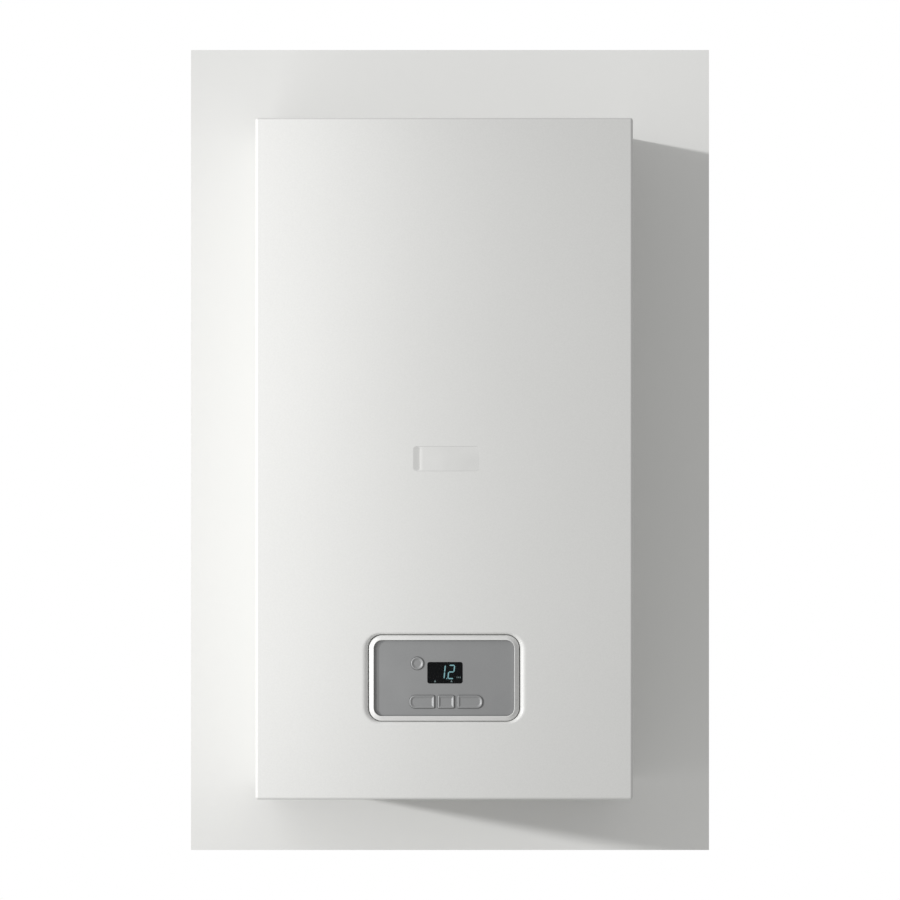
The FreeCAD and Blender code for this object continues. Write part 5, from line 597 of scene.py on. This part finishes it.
def make_stage_piece(name, points, faces, material):
    """A flat stage surface, its face on the side where the corners turn anticlockwise."""
    mesh = bpy.data.meshes.new(name)
    mesh.from_pydata(points, [], faces)
    mesh.materials.append(material)
    piece = placed(name, mesh)
    piece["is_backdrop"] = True


def make_stage(camera):
    """The wall that the photograph shows round the boiler, open behind it, and a pale floor below."""
    low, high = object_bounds()
    pale = one_sided("pale_stage", WALL_COLOUR)
    wall_y = high.y + STAGE_GAP
    spread = (wall_y - camera.location.y) / CAMERA_DISTANCE * pixel_size()
    middle = IMAGE_PIXELS / 2
    left = camera.location.x + (WALL_LEFT_PIXEL - middle) * spread
    right = camera.location.x + (WALL_RIGHT_PIXEL - middle) * spread
    top = camera.location.z + (middle - WALL_TOP_PIXEL) * spread
    base = camera.location.z + (middle - WALL_BASE_PIXEL) * spread
    rear_low, rear_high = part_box("back_panel")
    outer = corners(left, right, base, top)
    inner = corners(rear_low.x + WALL_OVERLAP, rear_high.x - WALL_OVERLAP,
                    rear_low.z + WALL_OVERLAP, rear_high.z - WALL_OVERLAP)
    sides = len(outer)
    faces = [(n, (n + 1) % sides, sides + (n + 1) % sides, sides + n) for n in range(sides)]
    make_stage_piece("wall", [(x, wall_y, z) for x, z in outer + inner], faces, pale)
    floor = low.z - FLOOR_DROP
    reach = FLOOR_REACH
    make_stage_piece("floor", [(x, y, floor) for x, y in corners(-reach, reach, -reach, reach)],
                     [(0, 1, 2, 3)], pale)


# Small pieces

def make_piece(name, mesh, material, body):
    """Sets a finished mesh in the scene, on its body and with its material."""
    mesh.materials.append(material)
    piece = placed(name, mesh)
    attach(piece, body)
    return piece


def add_prism(bm, outline, front, rear):
    """Adds a flat piece with an outline of (x, z) points, from the plane front to the plane rear."""
    near = [bm.verts.new((x, front, z)) for x, z in outline]
    far = [bm.verts.new((x, rear, z)) for x, z in outline]
    bm.faces.new(near)
    bm.faces.new(far[::-1])
    join_rings(bm, near, far)


def finished_mesh(name, bm):
    """Turns an edit mesh into a mesh with its faces outward."""
    bmesh.ops.recalc_face_normals(bm, faces=bm.faces)
    mesh = bpy.data.meshes.new(name)
    bm.to_mesh(mesh)
    bm.free()
    return mesh


# Display

DIGIT_TALL = 14.4 * MM
DIGIT_WIDTH = 5.8 * MM
DIGIT_STROKE = 1.3 * MM
DIGIT_SLANT = 0.10
DIGIT_THICK = 0.2 * MM
DIGIT_RISE = 0.8 * MM
DIGIT_ONE_X = -3.3 * MM
DIGIT_TWO_X = 6.8 * MM
FIGURES = ((DIGIT_ONE_X, "bc"), (DIGIT_TWO_X, "abged"))
DOT_SIZE = 1.1 * MM
MARK_TALL = 1.6 * MM
MARK_WIDTH = 0.8 * MM
MARK_PITCH = 1.7 * MM
MARK_X = 12.7 * MM
MARK_DROP = 5.9 * MM
MARK_COUNT = 3
ICON_SIZE = 1.2 * MM
ICON_DROP = 9.1 * MM
ICON_PLACES = (-10.8 * MM, 7.0 * MM)
SEGMENT_GAP_SHARE = 0.12


def segment_outline(start, end, stroke):
    """A six-cornered display segment between two points."""
    along = (end - start).normalized()
    across = Vector((-along.y, along.x)) * (stroke / 2)
    inner = along * (stroke / 2)
    gap = along * (stroke * SEGMENT_GAP_SHARE)
    first = start + gap
    last = end - gap
    return [first, first + inner + across, last - inner + across, last, last - inner - across,
            first + inner - across]


def digit_segments(segments):
    """The centre lines of a digit's lit segments, named by the usual letters a to g."""
    half = DIGIT_WIDTH / 2
    tall = DIGIT_TALL / 2
    corner = {"tl": Vector((-half, tall)), "tr": Vector((half, tall)), "ml": Vector((-half, 0)),
              "mr": Vector((half, 0)), "bl": Vector((-half, -tall)), "br": Vector((half, -tall))}
    lines = {"a": ("tl", "tr"), "b": ("tr", "mr"), "c": ("mr", "br"), "d": ("bl", "br"), "e": ("ml", "bl"),
             "f": ("tl", "ml"), "g": ("ml", "mr")}
    return [(corner[lines[s][0]], corner[lines[s][1]]) for s in segments]


def display_place():
    """The display's centre in x and z, and the planes of its figures' front and rear."""
    low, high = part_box("display_window")
    centre = Vector(((low.x + high.x) / 2, (low.z + high.z) / 2))
    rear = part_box("display_module")[0].y
    return centre, rear - DIGIT_THICK, rear


def make_figures(finishes):
    """The display's lit figures and the point between them, just in front of its dark face."""
    centre, front, rear = display_place()
    bm = bmesh.new()
    for x, segments in FIGURES:
        for start, end in digit_segments(segments):
            outline = [centre + Vector((x + p.x + p.y * DIGIT_SLANT, p.y + DIGIT_RISE))
                       for p in segment_outline(start, end, DIGIT_STROKE)]
            add_prism(bm, outline, front, rear)
    dot = centre + Vector(((DIGIT_ONE_X + DIGIT_TWO_X) / 2 + DIGIT_SLANT * DIGIT_STROKE,
                           DIGIT_RISE - DIGIT_TALL / 2))
    half = DOT_SIZE / 2
    add_prism(bm, [dot + Vector(corner) for corner in corners(-half, half, -half, half)], front, rear)
    make_piece("display_figures", finished_mesh("display_figures", bm), finishes["lit_segment"], "boiler")


def make_marks(finishes):
    """The display's dim signs: a row of small marks and two small triangles."""
    centre, front, rear = display_place()
    bm = bmesh.new()
    for n in range(MARK_COUNT):
        foot = centre + Vector((MARK_X + n * MARK_PITCH, -MARK_DROP))
        outline = [foot + Vector(corner) for corner in corners(0, MARK_WIDTH, 0, MARK_TALL)]
        add_prism(bm, outline, front, rear)
    triangle = ((-ICON_SIZE, -ICON_SIZE), (ICON_SIZE, -ICON_SIZE), (0, ICON_SIZE))
    for x in ICON_PLACES:
        hub = centre + Vector((x, -ICON_DROP))
        add_prism(bm, [hub + Vector(corner) for corner in triangle], front, rear)
    make_piece("display_marks", finished_mesh("display_marks", bm), finishes["dim_segment"], "boiler")


# Badge

BADGE_SEAM = 0.2 * MM
BADGE_RECESS_WIDTH = 72.0 * MM
BADGE_RECESS_TALL = 27.0 * MM
BADGE_RECESS_DEPTH = 1.6 * MM
BADGE_WALL_LEAN = 1.5 * MM
BADGE_CORNER = 3.8 * MM
GROOVE_MARGIN = 0.3 * MM
GROOVE_WIDTH = 10.8 * MM
GROOVE_FLOOR = 6.6 * MM
GROOVE_FOOT = 0.6 * MM
GROOVE_DEPTH = 1.35 * MM
GROOVE_ROUND_DEPTH = 0.3 * MM
GROOVE_END_SLOPE = 1.6 * MM
GROOVE_CORNER = 2.6 * MM
CORNER_STEPS = 8


def rounded_outline(left, right, base, top, radius):
    """The (x, z) points of a rectangle with rounded corners, seen from the front."""
    radius = min(radius, (right - left) / 2, (top - base) / 2)
    hubs = ((right - radius, top - radius), (left + radius, top - radius),
            (left + radius, base + radius), (right - radius, base + radius))
    points = []
    for n, hub in enumerate(hubs):
        for k in range(CORNER_STEPS + 1):
            angle = math.pi / 2 * (n + k / CORNER_STEPS)
            points.append((hub[0] + radius * math.cos(angle), hub[1] + radius * math.sin(angle)))
    return points


def groove_rings(face, left, height):
    """Rings from the groove's rim to its foot: a long slope on the left, a rounded step on the right."""
    rings = []
    half = BADGE_RECESS_TALL / 2 - BADGE_SEAM - GROOVE_MARGIN
    for k in range(CORNER_STEPS + 1):
        depth = GROOVE_ROUND_DEPTH * k / CORNER_STEPS
        share = depth / GROOVE_DEPTH
        turn = math.sqrt(depth / GROOVE_ROUND_DEPTH)
        right = GROOVE_WIDTH + (GROOVE_FLOOR + GROOVE_FOOT - GROOVE_WIDTH) * turn
        rings.append((face + depth, left + GROOVE_FLOOR * share, left + right, height,
                      half - GROOVE_END_SLOPE * share, GROOVE_CORNER))
    rings.append((face + GROOVE_DEPTH, left + GROOVE_FLOOR, left + GROOVE_FLOOR + GROOVE_FOOT, height,
                  half - GROOVE_END_SLOPE, GROOVE_CORNER))
    return rings


def make_badge(finishes):
    """The bare badge plate: flush in its recess, with a finger groove at its left end."""
    low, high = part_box("badge_plate")
    middle = (low + high) / 2
    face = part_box("front_cover")[0].y
    left = middle.x - BADGE_RECESS_WIDTH / 2 + BADGE_SEAM
    right = middle.x + BADGE_RECESS_WIDTH / 2 - BADGE_SEAM
    half = BADGE_RECESS_TALL / 2 - BADGE_SEAM
    lean = BADGE_WALL_LEAN
    rear = face + BADGE_RECESS_DEPTH
    rings = [(rear, left + lean, right - lean, middle.z, half - lean, BADGE_CORNER - lean),
             (face, left, right, middle.z, half, BADGE_CORNER)]
    rings += groove_rings(face, left + GROOVE_MARGIN, middle.z)
    bm = bmesh.new()
    rows = []
    for level, start, end, height, reach, corner in rings:
        outline = rounded_outline(start, end, height - reach, height + reach, corner)
        rows.append([bm.verts.new((x, level, z)) for x, z in outline])
    for first, second in zip(rows, rows[1:]):
        join_rings(bm, first, second)
    bm.faces.new(rows[0])
    bm.faces.new(rows[-1])
    plate = make_piece("bare_badge", finished_mesh("bare_badge", bm), finishes["badge_plastic"], "cover")
    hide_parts("badge_plate")


# Panel ring and fascia: the mouth is the ring's inner outline, and the ring's round ends at its depth

MOUTH_WIDTH = 152.4 * MM
MOUTH_TALL = 82.4 * MM
MOUTH_CORNER = 9.0 * MM
RING_EDGE = 0.5 * MM
RING_DEPTH = 4.01 * MM
RING_SLOPE = math.tan(math.radians(30))
FASCIA_RISE = 2.6 * MM
WELD_REACH = 0.001 * MM
RING_SHARP_ANGLE = math.radians(20)
FASCIA_SHARP_ANGLE = math.radians(1)


def reshaped(name, node, move, sharp, finish):
    """Replaces a CAD piece by a copy with its points moved; edges over the angle sharp stay hard."""
    bm = bmesh.new()
    bm.from_mesh(NODES[node].data)
    bmesh.ops.remove_doubles(bm, verts=bm.verts, dist=WELD_REACH)
    for point in bm.verts:
        point.co.y = move(point.co)
    mesh = finished_mesh(name, bm)
    mesh.shade_smooth()
    mesh.set_sharp_from_angle(angle=sharp)
    piece = make_piece(name, mesh, finish, "boiler")
    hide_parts(node)


def past_mouth(point, middle):
    """How far a point lies outside the ring's mouth."""
    aside = abs(point.x - middle.x) - MOUTH_WIDTH / 2 + MOUTH_CORNER
    above = abs(point.z - middle.z) - MOUTH_TALL / 2 + MOUTH_CORNER
    if aside > 0 and above > 0:
        return math.hypot(aside, above) - MOUTH_CORNER
    return max(aside, above) - MOUTH_CORNER


def make_ring(finishes):
    """The panel's ring, sloped outward from its inner edge."""
    low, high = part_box("panel_bezel")
    middle = (low + high) / 2

    def level(point):
        """The rounded front turned into a slope; all other points stay."""
        outward = past_mouth(point, middle) - RING_EDGE
        if outward <= 0 or point.y > low.y + RING_DEPTH:
            return point.y
        return low.y + outward * RING_SLOPE

    reshaped("sloped_ring", "panel_bezel", level, RING_SHARP_ANGLE, finishes["white_plastic"])


def make_fascia(finishes):
    """The panel's silver plate, flat up to the ring."""
    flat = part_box("panel_fascia")[0].y + FASCIA_RISE

    def level(point):
        """The raised margin set back to the flat; all other points stay."""
        return max(point.y, flat)

    reshaped("flat_fascia", "panel_fascia", level, FASCIA_SHARP_ANGLE, finishes["silver_plastic"])


# Threads and screws

CONNECTION_PITCH = 69.7 * MM
THREAD_RADII = (13.22 * MM, 10.48 * MM, 13.22 * MM, 10.48 * MM, 13.22 * MM)
THREAD_INSET = 1.5 * MM
THREAD_LENGTH = 20.0 * MM
THREAD_PITCH = 1.81 * MM
THREAD_PROUD = 0.45 * MM
THREAD_SUNK = 0.1 * MM
THREAD_HALF_SHARE = 0.42
THREAD_STEPS = 40
SCREW_SIDES = 24
SCREW_RADIUS = 4.4 * MM
SCREW_TALL = 3.2 * MM
SCREW_INSET = 7.0 * MM
CHAMBER_SCREW_ROWS = 3
LID_SCREW_ROWS = 2
CHAMBER_SHEET = 1.2 * MM

# Rings of a screw head: shares of its radius and height, and whether the ring is a hexagon
SCREW_PROFILE = ((1.0, 0.0, False), (1.0, 0.22, False), (0.90, 0.32, False), (0.70, 0.34, True),
                 (0.70, 0.90, True), (0.60, 1.0, True), (0.46, 1.0, False), (0.30, 0.78, False))


def add_thread(bm, centre, radius, base):
    """Adds a helical ridge round an upright stub."""
    half = THREAD_PITCH * THREAD_HALF_SHARE
    count = int(THREAD_STEPS * THREAD_LENGTH / THREAD_PITCH)
    rows = []
    for n in range(count + 1):
        angle = 2 * math.pi * n / THREAD_STEPS
        level = base + half + (THREAD_LENGTH - 2 * half) * n / count
        fade = min(1.0, n / THREAD_STEPS, (count - n) / THREAD_STEPS)
        crest = radius - THREAD_SUNK + (THREAD_PROUD + THREAD_SUNK) * fade
        row = []
        for reach, rise in ((radius - THREAD_SUNK, -half), (crest, 0.0), (radius - THREAD_SUNK, half)):
            row.append(bm.verts.new((centre.x + reach * math.cos(angle), centre.y + reach * math.sin(angle),
                                     level + rise)))
        rows.append(row)
    for first, second in zip(rows, rows[1:]):
        join_rings(bm, first, second)
    bm.faces.new(rows[0])
    bm.faces.new(rows[-1][::-1])


def make_threads(finishes):
    """The pipe threads on the five connections below the boiler."""
    low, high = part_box("pipe_connections")
    middle = (low + high) / 2
    bm = bmesh.new()
    for n, radius in enumerate(THREAD_RADII):
        x = middle.x + (n - len(THREAD_RADII) // 2) * CONNECTION_PITCH
        add_thread(bm, Vector((x, middle.y)), radius, low.z + THREAD_INSET)
    make_piece("connection_threads", finished_mesh("connection_threads", bm), finishes["brass"], "boiler")


def add_screw(bm, seat, axis):
    """Adds a sheet-metal screw's head: a flange and a dished hexagon on it."""
    turn = axis.to_track_quat("Z", "Y").to_matrix()
    flat = math.pi / 3
    rings = []
    for share, rise, hexagonal in SCREW_PROFILE:
        ring = []
        for n in range(SCREW_SIDES):
            angle = 2 * math.pi * n / SCREW_SIDES
            reach = SCREW_RADIUS * share
            if hexagonal:
                reach /= math.cos((angle + flat / 2) % flat - flat / 2)
            ring.append(bm.verts.new(seat + turn @ Vector((reach * math.cos(angle), reach * math.sin(angle),
                                                           SCREW_TALL * rise))))
        rings.append(ring)
    for first, second in zip(rings, rings[1:]):
        join_rings(bm, first, second)
    bm.faces.new(rings[0][::-1])
    bm.faces.new(rings[-1])


def make_screws(name, node, level, axis, rows, finishes):
    """Screw heads near the left and right edges of an upright plate, in rows from its foot to its top."""
    low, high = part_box(node)
    bm = bmesh.new()
    for x in (low.x + SCREW_INSET, high.x - SCREW_INSET):
        for n in range(rows):
            z = low.z + SCREW_INSET + (high.z - low.z - 2 * SCREW_INSET) * n / (rows - 1)
            add_screw(bm, Vector((x, level, z)), axis)
    make_piece(name, finished_mesh(name, bm), finishes["zinc_steel"], "boiler")


def make_fasteners(finishes):
    """Screws on the chamber's front plate and on the control box's rear lid."""
    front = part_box("chamber_front_plate")[1].y - CHAMBER_SHEET
    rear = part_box("control_rear_cover")[1].y
    make_screws("chamber_screws", "chamber_front_plate", front, Vector((0, -1, 0)), CHAMBER_SCREW_ROWS,
                finishes)
    make_screws("lid_screws", "control_rear_cover", rear, Vector((0, 1, 0)), LID_SCREW_ROWS, finishes)


# The whole scene

def main():
    """Dresses the pieces, adds the small ones, and sets up camera, lamps and stage."""
    bpy.context.scene.view_settings.view_transform = "Standard"
    finishes = make_materials()
    dress_nodes(finishes)
    make_figures(finishes)
    make_marks(finishes)
    make_badge(finishes)
    make_ring(finishes)
    make_fascia(finishes)
    make_threads(finishes)
    make_fasteners(finishes)
    camera = make_camera()
    low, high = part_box("front_cover")
    target = (low + high) / 2
    make_sun()
    make_near_lamp(target)
    make_sky()
    make_stage(camera)


main()
